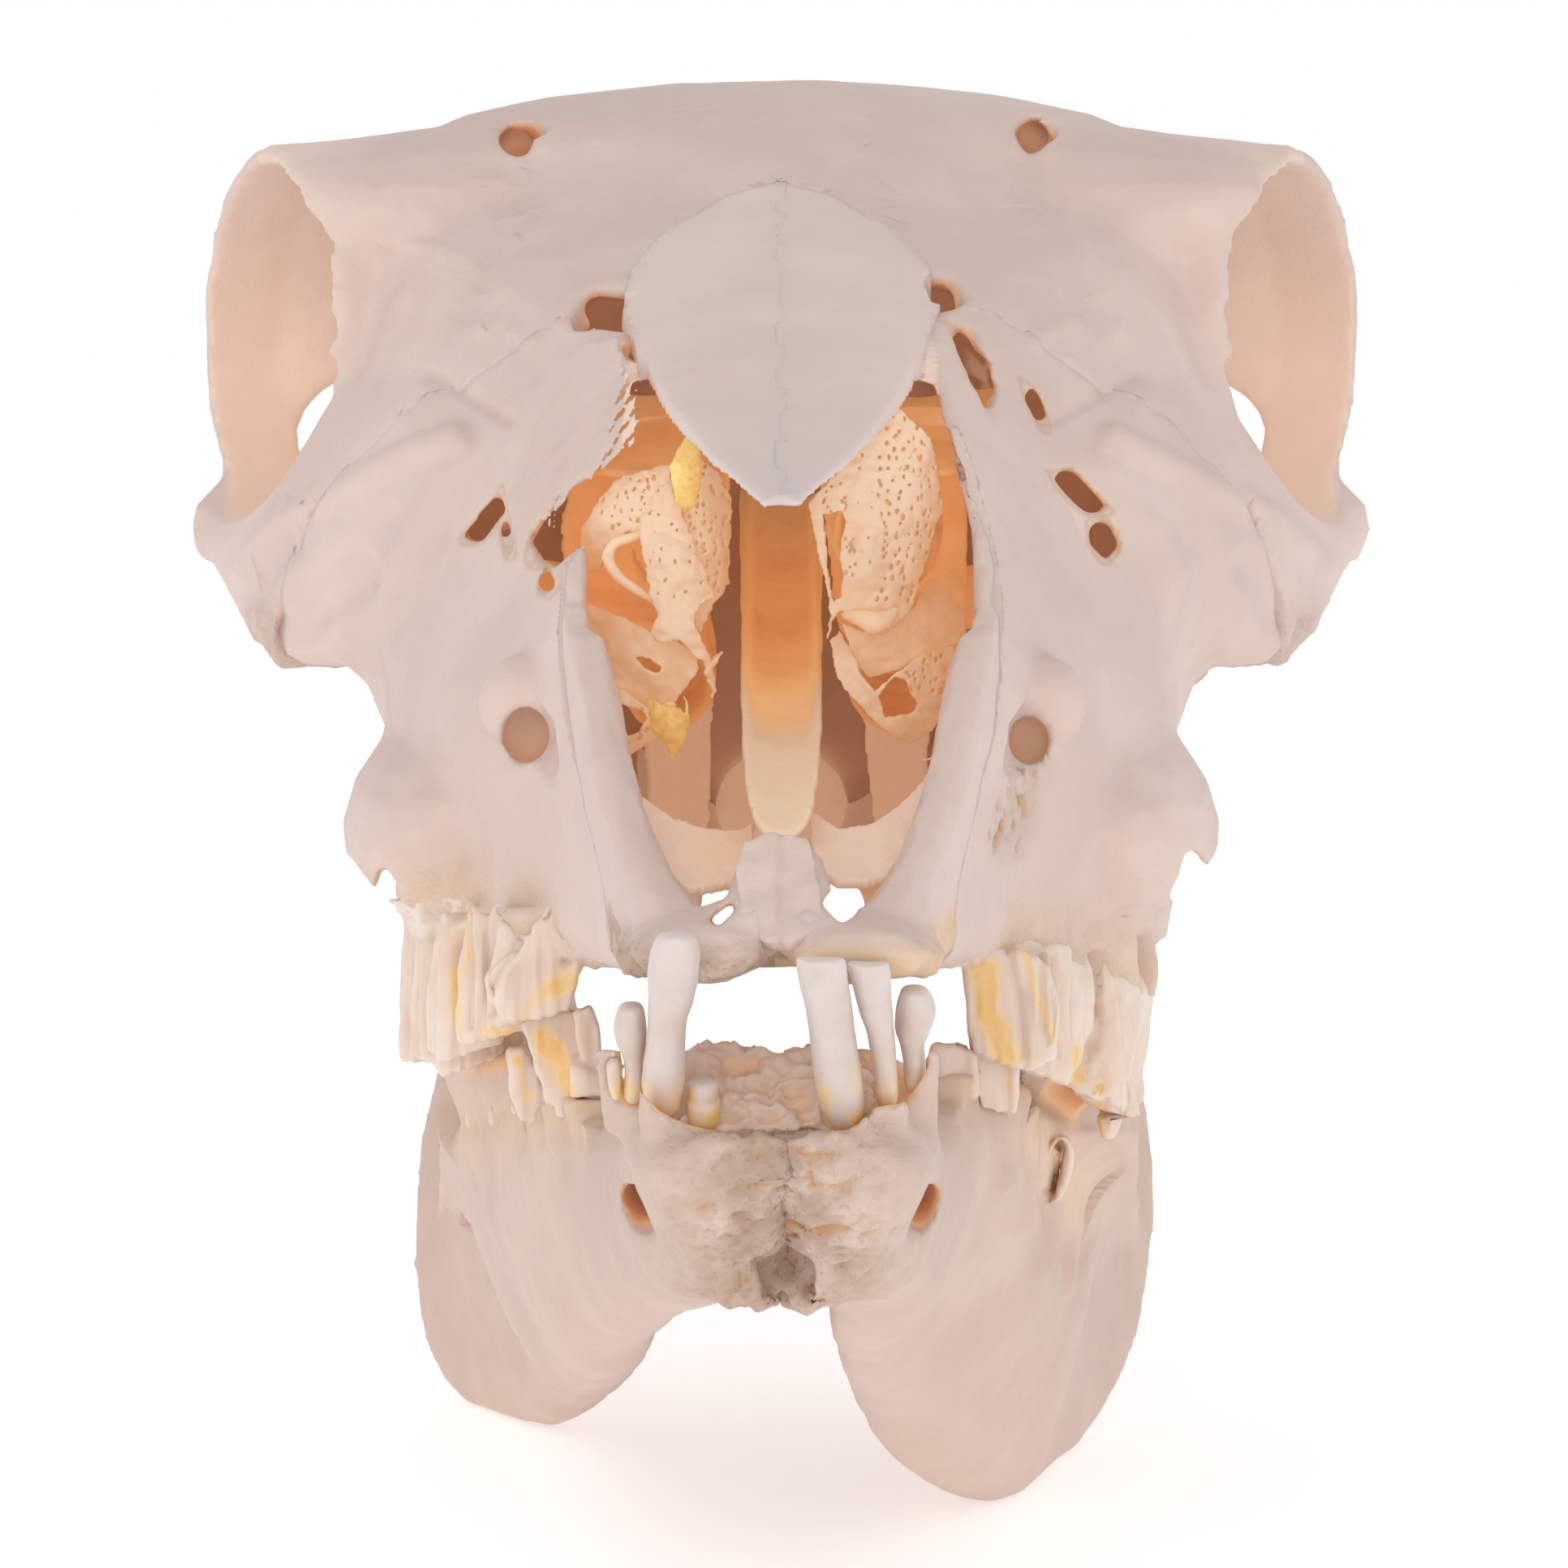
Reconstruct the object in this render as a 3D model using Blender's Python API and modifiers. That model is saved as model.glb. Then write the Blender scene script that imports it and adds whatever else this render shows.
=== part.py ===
"""Skull of a young hornless sheep with both halves of its lower jaw, life size.

The snout points along -Y, +X is to the right of someone who faces it, and the floor is z = 0.
Y = 0 is the front edge of the upper jaw. Sizes are in millimetres and become metres where the
meshes are made. Bone is modelled whole as lofts and round forms, fused and smoothed on a fine
grid, hollowed, and then parted along its sutures with thin cuts.
"""

import math

import bmesh
import bpy
from mathutils import Matrix, Vector

MM = 0.001

# Sutures and touching bones stay this far apart.
SEAM = 0.35
# Beyond the skull in every direction.
FAR = 150.0

# Grid of the fused bone, and how far it is smoothed before and after it is hollowed.
GRID = 0.95
FINE_GRID = 0.8
SMOOTH_FORM = 7
SMOOTH_EDGES = 3

# Faces left in each fused form.
FORM_FACES = 6000
SHELL_FACES = 8000
JAW_FACES = 1180

# Outer form of the head: y, then height of the midline above, six (x, z) points down the side,
# and height of the midline below.
HEAD_SECTIONS = (
    (11, 102.2, (3.5, 101.5), (9.0, 95.5), (12.5, 86.0), (12.8, 77.0), (12.0, 70.0), (10.0, 65.5), 66.0),
    (30, 107.2, (7.0, 105.7), (12.5, 99.0), (15.4, 90.0), (16.8, 81.0), (16.0, 72.0), (14.0, 63.5), 67.5),
    (45, 110.5, (10.0, 109.0), (15.0, 103.0), (18.8, 93.0), (21.8, 82.5), (21.5, 73.0), (18.0, 61.5), 68.5),
    (60, 114.0, (12.0, 112.0), (16.5, 106.5), (22.0, 96.5), (29.0, 84.0), (29.5, 73.0), (25.0, 60.5), 68.5),
    (73, 117.3, (13.0, 115.5), (18.5, 110.5), (26.5, 99.5), (34.5, 84.0), (34.5, 72.0), (30.5, 59.5), 67.0),
    (88, 121.5, (15.0, 119.8), (24.0, 115.5), (33.0, 104.0), (38.0, 88.0), (35.5, 73.0), (32.8, 58.5), 65.0),
    (104, 127.5, (20.0, 125.5), (33.0, 121.5), (40.0, 110.0), (43.0, 94.0), (36.0, 76.0), (32.0, 62.0), 63.0),
    (116, 133.5, (24.0, 131.0), (36.0, 127.0), (38.0, 110.0), (31.0, 94.0), (22.0, 80.0), (14.0, 68.0), 62.5),
    (128, 138.2, (25.0, 136.3), (35.0, 132.0), (30.0, 113.0), (22.0, 98.0), (15.0, 84.0), (11.0, 71.0), 66.0),
    (142, 139.3, (25.0, 137.0), (35.0, 131.0), (33.0, 113.0), (26.0, 98.0), (17.0, 83.0), (11.0, 70.0), 66.0),
    (157, 136.5, (23.0, 133.5), (32.0, 124.5), (35.0, 109.0), (30.0, 95.0), (20.0, 80.0), (11.0, 68.0), 65.0),
    (173, 130.5, (22.0, 127.0), (31.0, 118.0), (35.0, 104.0), (33.0, 90.0), (25.0, 77.0), (12.0, 66.0), 63.0),
    (189, 121.0, (20.0, 118.0), (29.0, 110.0), (34.0, 98.0), (34.0, 86.0), (28.0, 75.0), (14.0, 64.0), 61.5),
    (203, 109.5, (17.0, 107.5), (26.0, 101.0), (30.0, 91.0), (30.0, 80.0), (22.0, 71.0), (13.0, 64.0), 62.0),
    (212, 98.0, (10.0, 96.5), (16.0, 92.0), (19.0, 85.5), (18.0, 79.0), (14.0, 73.0), (8.0, 69.0), 68.0),
)

# Nasal cavity: the same points for its inner walls, from in front of the snout to its closed end.
CAVITY_SECTIONS = (
    (-6, 99.6, (3.0, 99.0), (6.0, 93.4), (6.5, 86.0), (6.3, 80.0), (6.0, 76.0), (5.0, 72.6), 72.3),
    (9, 100.4, (3.5, 99.9), (7.0, 93.6), (9.2, 86.0), (9.4, 79.0), (8.8, 75.0), (6.5, 72.3), 72.0),
    (18, 103.2, (4.6, 102.4), (9.2, 96.0), (12.4, 88.0), (13.0, 81.0), (11.6, 75.5), (8.5, 71.5), 71.0),
    (32, 106.6, (7.2, 105.2), (11.8, 98.2), (14.0, 89.5), (14.6, 82.0), (13.0, 76.0), (9.0, 72.0), 71.0),
    (46, 109.4, (9.6, 107.8), (14.2, 101.6), (16.8, 92.0), (18.2, 83.0), (15.5, 76.0), (9.0, 72.6), 72.0),
    (60, 112.4, (11.7, 110.4), (15.6, 104.9), (20.0, 95.5), (21.4, 84.0), (19.0, 75.0), (10.0, 71.8), 71.4),
    (76, 115.6, (13.0, 114.0), (19.0, 109.0), (24.0, 99.0), (28.5, 86.0), (26.5, 74.5), (12.0, 69.8), 69.4),
    (92, 119.6, (14.0, 118.0), (22.0, 113.0), (29.0, 102.0), (32.0, 88.0), (28.0, 74.0), (12.0, 67.6), 67.0),
    (104, 121.5, (14.0, 120.0), (22.0, 114.0), (27.0, 103.0), (27.0, 88.0), (20.0, 75.0), (9.0, 67.4), 66.5),
    (115, 115.0, (9.0, 113.0), (15.0, 108.0), (18.0, 100.0), (16.0, 90.0), (12.0, 78.0), (8.0, 69.0), 68.0),
)

# Nasal bones from above: half width against y, from the free tips to the forehead.
NASAL_OUTLINE = (
    (0.0, 19.4), (1.7, 18.2), (3.2, 23.0), (4.8, 28.5), (6.4, 34.0), (8.3, 43.0), (10.3, 53.0),
    (12.0, 64.0), (12.9, 74.0), (14.2, 84.0), (13.4, 92.0), (10.5, 100.0), (5.5, 106.5), (0.0, 109.0),
)
NASAL_FLOOR = 94.0

# Side view, y and z: upper edge of the upper jaw's arm in the nose opening, up to the notch.
ARM_EDGE = ((2.0, 70.6), (9.0, 72.6), (16.0, 76.0), (24.0, 80.6), (32.0, 86.0), (45.0, 93.0), (60.0, 107.5))
NOTCH = (74.0, 117.0)

# Side view of the sutures that part the upper jaw from the cranium, from its other half and from
# the snout bone.
MAXILLA_SUTURE = (
    (78, 126), (86, 117), (91, 108), (97, 99), (103, 91), (107, 82), (112, 74), (117, 66), (119, 50),
)
PALATE_CUT = ((-20, 50), (119, 50), (119, 84), (-20, 84))
SNOUT_SUTURE = ((69, 122), (64, 111), (52, 97.5), (41, 87.5), (31, 79), (26, 71.5), (25, 56))

# Eye sockets: middle of the rim, the way the opening faces in plan, and its half sizes.
ORBIT_CENTRE = (51.2, 126.0, 113.6)
ORBIT_TURN = math.radians(24.5)
ORBIT_HALF_WIDTH = 18.6
ORBIT_HALF_HEIGHT = 17.6
# How much squarer than an ellipse the front of the rim is.
ORBIT_SQUARE = 0.3
ORBIT_WALL = 2.3
# Depth from the rim, and the share of the rim's size that the socket keeps there.
SOCKET_PROFILE = ((-8, 1.04), (0, 1.0), (9, 1.0), (18, 0.86), (27, 0.56), (36, 0.24))
CUP_PROFILE = ((0, 0.98), (5, 0.99), (12, 1.0), (19, 0.96), (26, 0.84))

# Cheek bone: y, then six (x, z) corners, from the inner end of the top over the outer side.
CHEEK_SECTIONS = (
    (80, (28.0, 104.0), (33.5, 98.0), (35.5, 92.0), (33.5, 86.5), (28.0, 85.0), (23.0, 90.0)),
    (90, (31.0, 110.0), (38.5, 103.0), (41.5, 94.0), (39.5, 86.0), (33.0, 84.0), (26.0, 88.0)),
    (100, (35.0, 111.0), (43.0, 104.0), (46.8, 94.0), (45.4, 85.0), (38.0, 83.4), (31.0, 88.0)),
    (108, (40.0, 110.0), (46.5, 103.5), (50.4, 94.0), (50.2, 84.0), (43.0, 82.8), (36.0, 88.0)),
    (116, (43.5, 104.5), (49.5, 101.0), (53.4, 94.0), (53.2, 86.2), (47.5, 84.6), (42.0, 90.0)),
    (124, (48.5, 101.0), (53.2, 98.6), (56.2, 94.5), (55.6, 89.8), (51.5, 88.4), (47.5, 93.5)),
    (134, (53.0, 98.0), (56.2, 97.6), (58.4, 95.4), (58.4, 92.2), (55.4, 91.0), (52.6, 94.0)),
    (142, (54.0, 97.4), (56.4, 97.6), (58.0, 95.8), (58.0, 93.4), (56.0, 92.2), (54.0, 94.4)),
)

# Cheek teeth: y of the middle, x of the middle, length along the row, width across, how far the
# crown leans outwards, top in the bone and height of the chewing surface.
UPPER_TEETH_LEFT = (
    (48.0, 20.6, 9.4, 8.4, 1.6, 67.0, 57.2),
    (57.4, 24.4, 8.6, 8.0, 1.0, 66.0, 54.2),
    (66.4, 27.4, 9.0, 8.0, 0.8, 64.0, 51.4),
    (78.0, 29.4, 12.4, 8.4, 0.4, 63.0, 46.9),
    (91.8, 30.4, 13.8, 8.6, 0.2, 62.0, 46.4),
)
UPPER_TEETH_RIGHT = (
    (47.6, 18.8, 8.8, 5.2, 0.0, 67.0, 52.8),
    (56.2, 22.2, 8.4, 7.4, 0.4, 66.0, 50.4),
    (65.2, 26.6, 9.0, 8.0, 0.8, 64.0, 46.4),
    (77.0, 28.6, 12.6, 8.4, 0.6, 63.0, 42.4),
    (90.8, 29.6, 13.6, 8.4, 0.2, 62.0, 43.4),
)
LOWER_TEETH_LEFT = (
    (44.8, 16.0, 5.0, 5.0, 0.2, 47.0, 53.0),
    (51.4, 18.2, 7.8, 5.6, 0.3, 45.0, 54.6),
    (60.6, 19.8, 8.6, 5.6, 0.3, 42.0, 49.4),
    (72.0, 21.6, 12.4, 5.6, 0.4, 39.0, 45.8),
    (86.0, 24.0, 13.6, 6.0, 0.4, 35.0, 43.4),
    (100.0, 27.0, 12.0, 6.4, 0.4, 33.0, 41.4),
)
LOWER_TEETH_RIGHT = (
    (44.4, 13.6, 4.6, 4.2, 0.0, 47.0, 52.6),
    (50.8, 14.6, 6.8, 4.2, 0.0, 45.0, 53.6),
    (60.6, 18.8, 8.6, 5.4, 0.2, 40.0, 49.0),
    (72.0, 20.8, 12.4, 5.2, 0.2, 34.0, 43.6),
    (86.0, 23.4, 13.6, 5.6, 0.2, 28.0, 38.6),
    (99.5, 25.6, 11.0, 6.0, 0.2, 23.0, 34.0),
)

# Lower jaw halves, from the chin to the back of the ramus: y, lower edge (x, z), upper edge
# (x, z), thickness below and above. The two halves of the real jaw lie a little differently.
CHIN = (
    (-1.0, (4.6, 49.0), (6.2, 54.0), 8.6, 12.0),
    (2.5, (3.8, 44.6), (6.8, 55.6), 8.6, 15.4),
    (8, (3.8, 40.6), (7.0, 58.4), 9.0, 17.0),
    (13, (4.4, 38.4), (6.8, 59.9), 10.4, 16.0),
    (19, (5.4, 37.0), (7.2, 57.4), 13.4, 14.0),
)
JAW_RIGHT = CHIN + (
    (27, (6.6, 35.2), (8.8, 53.2), 14.4, 11.4),
    (38, (7.6, 31.6), (13.0, 50.8), 12.0, 9.4),
    (50, (6.4, 27.0), (16.8, 50.0), 9.6, 9.0),
    (62, (7.4, 21.2), (20.0, 46.4), 10.6, 9.4),
    (76, (9.2, 14.0), (22.4, 38.6), 11.4, 9.8),
    (90, (12.2, 7.4), (24.4, 32.4), 12.4, 10.0),
    (104, (16.0, 2.2), (26.6, 27.0), 12.8, 10.4),
    (115, (20.0, -1.0), (29.4, 30.0), 12.8, 10.0),
    (126, (24.4, -1.2), (32.2, 44.0), 11.8, 8.0),
    (137, (28.8, -1.0), (34.4, 62.0), 10.6, 6.2),
    (148, (33.2, 1.6), (36.0, 74.0), 9.4, 5.6),
    (157, (37.4, 8.4), (37.0, 79.0), 7.8, 5.4),
    (164, (39.4, 20.0), (37.4, 77.0), 6.2, 5.2),
    (169.5, (38.6, 34.0), (37.2, 71.0), 3.6, 4.0),
)
JAW_LEFT = CHIN + (
    (27, (7.0, 35.0), (8.8, 53.2), 14.4, 11.4),
    (38, (9.4, 32.2), (13.2, 50.4), 12.0, 9.0),
    (50, (11.2, 28.6), (17.4, 48.4), 9.6, 8.6),
    (62, (13.2, 24.8), (20.6, 46.0), 10.4, 9.2),
    (76, (14.6, 20.0), (23.6, 42.6), 11.4, 9.8),
    (90, (15.8, 15.6), (26.2, 39.4), 12.4, 10.0),
    (104, (16.8, 12.2), (28.6, 37.6), 13.2, 10.2),
    (118, (17.8, 8.6), (31.0, 41.0), 14.0, 9.2),
    (130, (19.4, 5.2), (33.0, 52.0), 14.8, 7.8),
    (141, (22.0, 1.4), (34.8, 68.0), 15.8, 6.4),
    (150, (25.6, -1.4), (36.0, 80.0), 16.8, 5.6),
    (157, (30.2, -1.8), (37.0, 85.0), 15.6, 5.4),
    (163, (35.0, 1.2), (37.4, 84.0), 12.0, 5.2),
    (167, (38.8, 10.4), (37.4, 81.0), 7.8, 5.0),
    (170, (38.8, 28.0), (37.2, 77.0), 3.6, 4.0),
)
# How far the middle of the ramus lies inwards of a straight plate, against y.
RAMUS_BOW = ((104, 0.0), (140, 3.6), (160, 6.2), (170, 6.0))
LOWER_EDGE_BLUNT = 0.72
# The right half has swung down from its joint by this much at the back.
RIGHT_DROP = 6.0

# Front teeth: root (x, y, z), middle and tip, then width at the root, the middle and near the tip.
INCISORS_LEFT = (
    ((9.4, 4.6, 51.5), (9.2, -0.6, 62.6), (8.2, -3.8, 71.4), 4.4, 4.4, 5.0),
    ((11.9, 8.6, 52.5), (12.1, 5.0, 60.5), (12.5, 3.0, 65.8), 2.6, 3.0, 4.0),
    ((13.4, 9.6, 53.0), (13.8, 6.8, 58.5), (13.9, 6.0, 61.0), 2.2, 2.6, 2.6),
    ((6.2, 5.0, 50.0), (6.1, 1.8, 55.6), (6.0, 0.9, 58.4), 2.8, 3.2, 2.4),
)
INCISORS_RIGHT = (
    ((5.6, 3.4, 50.5), (4.6, -1.8, 60.6), (3.0, -4.6, 69.6), 3.6, 4.8, 5.4),
    ((9.0, 5.4, 51.5), (8.4, 0.6, 60.6), (6.9, -2.4, 68.8), 3.0, 3.8, 4.8),
    ((11.2, 8.4, 52.0), (11.4, 4.8, 60.4), (11.3, 3.2, 66.4), 2.8, 3.2, 4.4),
)

# Vomer: height of the trough's floor against y, and half of its width and depth.
VOMER_LINE = ((24, 77.0), (27, 76.4), (34, 77.8), (46, 80.6), (60, 85.0), (74, 90.0), (90, 95.2), (104, 99.0))
VOMER_WIDTHS = ((24, 1.8), (25.5, 2.9), (28, 3.5), (40, 3.7), (60, 3.8), (104, 4.2))
# Height of the trough's walls for its half width.
VOMER_HEIGHTS = ((24, 0.5), (27, 0.8), (36, 1.3), (60, 1.7), (104, 1.7))
VOMER_WALL = 0.8
VOMER_KEEL = ((24, 75.4), (30, 74.2), (46, 74.0), (60, 73.6), (76, 72.2), (92, 70.4), (104, 69.8))

# Forehead's wing over the socket, going outwards: x, y and z of the middle, half length and half height.
BROW = (
    (14, 131, 124.4, 20, 13.2), (26, 130, 124.8, 20, 10.8), (38, 128, 126.0, 19, 8.2),
    (46, 127, 127.0, 16, 6.2), (51.0, 129, 126.4, 12, 5.2),
)

# Rounded bars of bone on the right side, mirrored for the left: x, y, z and radius.
ARCH = ((56.6, 134, 94.4, 3.2), (56.0, 148, 94.0, 2.8), (49.5, 164, 92.5, 2.6), (40, 176, 91.5, 3.4))
HOOK = ((36.0, 78, 74.0, 2.6), (39.0, 74.0, 71.2, 1.7), (38.8, 71.5, 67.8, 1.0))
JUGULAR = ((22, 198, 78, 5.6), (22.5, 198, 64, 4.2), (21, 196, 53.5, 3.0), (19.5, 194.5, 48, 1.8))
EAR_CANAL = ((26, 184, 82, 4.4), (36, 187, 84, 3.6))
PTERYGOID = ((10, 116, 74, 4.2), (9.6, 126, 70, 3.2), (9.2, 138, 66, 2.4), (9.0, 147, 62.5, 1.5))
SNOUT_ARM = ((9.4, 8, 70.6, 2.2), (12.2, 18, 75.8, 2.1), (14.6, 29, 82.0, 2.2), (16.6, 42, 90.0, 1.9))
SNOUT_PROCESS = (
    (2.6, 3.5, 69.4, 2.3), (2.2, 10, 72.2, 2.1), (1.8, 16.5, 74.0, 1.6), (1.5, 22, 72.4, 1.3),
    (1.7, 30, 70.8, 1.5), (1.7, 38, 70.2, 1.6),
)

# Round swellings of bone on the right side: middle, then half sizes.
TUBER = ((29.2, 76, 71.4), (10.8, 21, 9.8))
BASE_SWELLINGS = (
    ((9.0, 211, 64.0), (7.4, 7.5, 8.6)),
    ((17.5, 182, 67.0), (6.6, 9.0, 8.4)),
    ((38.5, 172.5, 92.6), (9.0, 7.5, 3.6)),
    ((4.0, 175, 64.0), (6.4, 33, 5.6)),
)
FLANGE = ((11.4, 8.0, 67.6), (2.2, 5.0, 1.9))

# Toothless pad at the front of the upper jaw: y, x and z of the middle, half width and half height.
PAD = (
    (-0.6, 6.8, 68.8, 3.8, 1.0), (0.6, 6.7, 68.7, 5.4, 2.2), (3.4, 6.5, 68.6, 5.6, 2.7),
    (7.0, 7.2, 68.8, 5.2, 2.8), (11.0, 9.6, 69.8, 3.2, 3.0), (16.0, 11.8, 71.5, 2.2, 4.0),
)

# Passages through the bone, on both sides: x, y, z and radius, then how tall for their width.
PASSAGES = (
    (((20.2, 39, 80.6, 2.3), (21.6, 47, 83.0, 2.2), (24.6, 62, 84.5, 1.9)), 1.0),
    (((24.4, 110, 133.4, 1.3), (24.9, 119, 134.8, 2.0), (25.4, 127, 131.5, 2.0), (26.5, 136, 124, 1.6)), 1.0),
    (((5.4, 10, 71, 1.2), (6.6, 19, 70, 2.2), (6.6, 32, 69, 2.3), (5.6, 42, 69, 1.3)), 5.0),
)
# Round hollows on both sides: behind the socket, before the ear, under the arch, the tear pit
# and the ear opening.
HOLLOWS = (
    ((39.6, 149, 103.0), (10.2, 22, 6.8)),
    ((44.0, 167, 107.0), (12.0, 16, 12.5)),
    ((40.5, 138, 88.0), (11.5, 22, 8.5)),
    ((31.0, 86.0, 121.5), (7.0, 12.0, 7.0)),
    ((37.0, 187.5, 84.0), (6.0, 2.3, 2.3)),
)
TEAR_HOLES = (((-16.8, 85.5, 118.5), (2.6, 4.4, 6.0)), ((14.6, 88.0, 119.6), (2.4, 3.6, 6.0)))
# Slits on the right side of the face, the passage behind the palate and the opening for the spine.
SLITS = (
    ((16.6, 83, 119, 0.6), (17.6, 77, 114.5, 1.1), (19.6, 69, 109, 0.7)),
    ((26.4, 73.5, 103, 0.6), (29.0, 74.5, 99, 1.0), (32.0, 77, 95, 0.6)),
)
SLIT_HEIGHT = 4.0
CHOANA = ((0, 104, 70, 7.0), (0, 118, 68, 6.6), (0, 136, 60, 7.5))
SPINE_OPENING = ((0, 213.5, 78), (8.0, 11, 7.2))

# Lower jaw: joint knob, its neck and the coronoid blade, for a half that hasn't dropped.
KNOB = ((39.0, 168.0, 83.6), (7.4, 3.6, 3.2))
NECK = ((37.0, 160, 70, 3.6), (38.0, 165, 78, 3.4), (39.0, 167.5, 83, 3.2))
CORONOID = ((36.4, 143, 66, 6.0), (38.0, 150, 82, 4.6), (39.8, 157, 94, 3.0), (40.6, 163, 101, 1.6))
KNOB_NOTCH = ((38.5, 163.0, 94), (9, 3.0, 7.5))
MENTAL = ((12.6, 11, 45.0, 2.3), (11.6, 19, 45.4, 2.1), (10.8, 31, 45.6, 1.5))
CHIN_PIT = ((6.6, 4.4, 60.2), (5.9, 4.4, 6.0))
# The open crypt of the last molar in the right half.
CRYPT = ((27.5, 113, 32.0), (3.2, 6.5, 4.6))

# Cut pieces are told apart by the y of their middle; crumbs under this many mm3 are dropped.
CRANIUM_FROM = 115
MAXILLA_FROM = 40
SMALLEST_BONE = 60

# Scrolls of thin bone in the nose: y, x and z of the middle, and size, front to back.
UPPER_SCROLL = (
    (52, 8.6, 95.0, 3.2), (58, 9.6, 96.2, 5.6), (70, 10.6, 98.4, 6.8), (84, 11.0, 101.5, 6.8), (97, 10.6, 104, 5.4),
)
LOWER_SCROLL = (
    (50, 10.0, 83.0, 3.0), (56, 10.4, 83.6, 4.6), (68, 10.8, 84.6, 5.4), (82, 11.0, 86.2, 5.4), (94, 10.8, 88, 4.4),
)
# Angle where each scroll starts, and how far round it rolls.
UPPER_TURN = (66, 410)
LOWER_TURN = (84, 390)
LEAF = 0.9
LEAF_LENGTH = 20.0
LEAF_REACH = 0.93

# Front view, x and z: bone missing beside the left nasal bone, and from where to where back.
LEFT_GAP = (
    (-9.0, 112.5), (-12.7, 110.2), (-14.2, 106.4), (-17.0, 103.6), (-20.5, 100.6), (-22.6, 97.4),
    (-19.8, 95.6), (-17.2, 98.6), (-12.0, 99.5), (-8.0, 104.0),
)
LEFT_GAP_FRONT = 36.0
LEFT_GAP_BACK = 72.0

BONE = (0.80, 0.66, 0.57, 1.0)
FACE_BONE = (0.82, 0.70, 0.62, 1.0)
INNER_BONE = (0.72, 0.47, 0.28, 1.0)


def clear_scene():
    for obj in list(bpy.data.objects):
        bpy.data.objects.remove(obj, do_unlink=True)


def make_collection(name, hidden=False):
    made = bpy.data.collections.new(name)
    bpy.context.scene.collection.children.link(made)
    made.hide_render = hidden
    return made


def make_material(name, colour, roughness):
    made = bpy.data.materials.new(name)
    made.use_nodes = True
    shader = made.node_tree.nodes["Principled BSDF"]
    shader.inputs["Base Color"].default_value = colour
    shader.inputs["Roughness"].default_value = roughness
    made.diffuse_color = colour
    return made


def object_from(name, mesh):
    obj = bpy.data.objects.new(name, mesh)
    SCRAP.objects.link(obj)
    return obj


def spline_value(before, start, end, after, t):
    """Catmull-Rom between start and end, for numbers or vectors."""
    return 0.5 * (
        2 * start
        + (end - before) * t
        + (2 * before - 5 * start + 4 * end - after) * t * t
        + (3 * start - before - 3 * end + after) * t * t * t
    )


def smooth_line(points, steps, closed=False):
    """A smooth run through the points, with this many steps from each to the next."""
    points = [Vector(p) for p in points]
    count = len(points)
    made = []
    for i in range(count if closed else count - 1):
        if closed:
            ends = [points[(i + k) % count] for k in (-1, 0, 1, 2)]
        else:
            ends = [points[min(max(i + k, 0), count - 1)] for k in (-1, 0, 1, 2)]
        made += [spline_value(*ends, s / steps) for s in range(steps)]
    if not closed:
        made.append(points[-1])
    return made


def between(table, y):
    """Straight-line value of a table of (y, value) rows."""
    if y <= table[0][0]:
        return table[0][1]
    for (y0, v0), (y1, v1) in zip(table, table[1:]):
        if y <= y1:
            return v0 + (v1 - v0) * (y - y0) / (y1 - y0)
    return table[-1][1]


def loft(name, rings):
    """A closed skin over rings of points in millimetres, each with the same count."""
    bm = bmesh.new()
    rows = [[bm.verts.new(Vector(p) * MM) for p in ring] for ring in rings]
    for low, high in zip(rows, rows[1:]):
        for i in range(len(low)):
            j = (i + 1) % len(low)
            bm.faces.new((low[i], low[j], high[j], high[i]))
    bm.faces.new(rows[0][::-1])
    bm.faces.new(rows[-1])
    bmesh.ops.triangulate(bm, faces=bm.faces[:])
    bmesh.ops.recalc_face_normals(bm, faces=bm.faces[:])
    mesh = bpy.data.meshes.new(name)
    bm.to_mesh(mesh)
    bm.free()
    return object_from(name, mesh)


def ellipsoid(name, centre, radii, turn=None, segments=20):
    mesh = bpy.data.meshes.new(name)
    bm = bmesh.new()
    bmesh.ops.create_uvsphere(bm, u_segments=segments, v_segments=segments // 2, radius=1.0)
    shape = Matrix.Diagonal(Vector(radii).to_4d())
    if turn:
        shape = turn.to_4x4() @ shape
    bm.transform(Matrix.Translation(Vector(centre) * MM) @ Matrix.Scale(MM, 4) @ shape)
    bm.to_mesh(mesh)
    bm.free()
    return object_from(name, mesh)


def tube(name, rows, flat=1.0, sides=12, across=(0, 0, 1)):
    """A rounded bar through rows of (x, y, z, radius); flat squeezes it along across."""
    line = smooth_line(rows, 4)
    rings = []
    for i, here in enumerate(line):
        ahead = line[min(i + 1, len(line) - 1)].to_3d() - line[max(i - 1, 0)].to_3d()
        ahead.normalize()
        side = ahead.cross(Vector(across)).normalized()
        up = side.cross(ahead).normalized()
        ring = []
        for k in range(sides):
            angle = 2 * math.pi * k / sides
            ring.append(here.to_3d() + (side * math.cos(angle) + up * math.sin(angle) * flat) * here[3])
        rings.append(ring)
    first, last = line[0], line[-1]
    start = [first.to_3d() + (p - first.to_3d()) * 0.4 for p in rings[0]]
    tip = [last.to_3d() + (p - last.to_3d()) * 0.4 for p in rings[-1]]
    step_in = (line[0].to_3d() - line[1].to_3d()).normalized() * first[3] * 0.6
    step_out = (line[-1].to_3d() - line[-2].to_3d()).normalized() * last[3] * 0.6
    rings = [[p + step_in for p in start]] + rings + [[p + step_out for p in tip]]
    return loft(name, rings)


def on_side(side, rows, drop=0.0):
    """Rows that start with x, y, z, mirrored for the left side (-1) and lowered by drop."""
    return [(side * x, y, z - drop, *rest) for x, y, z, *rest in rows]


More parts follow.
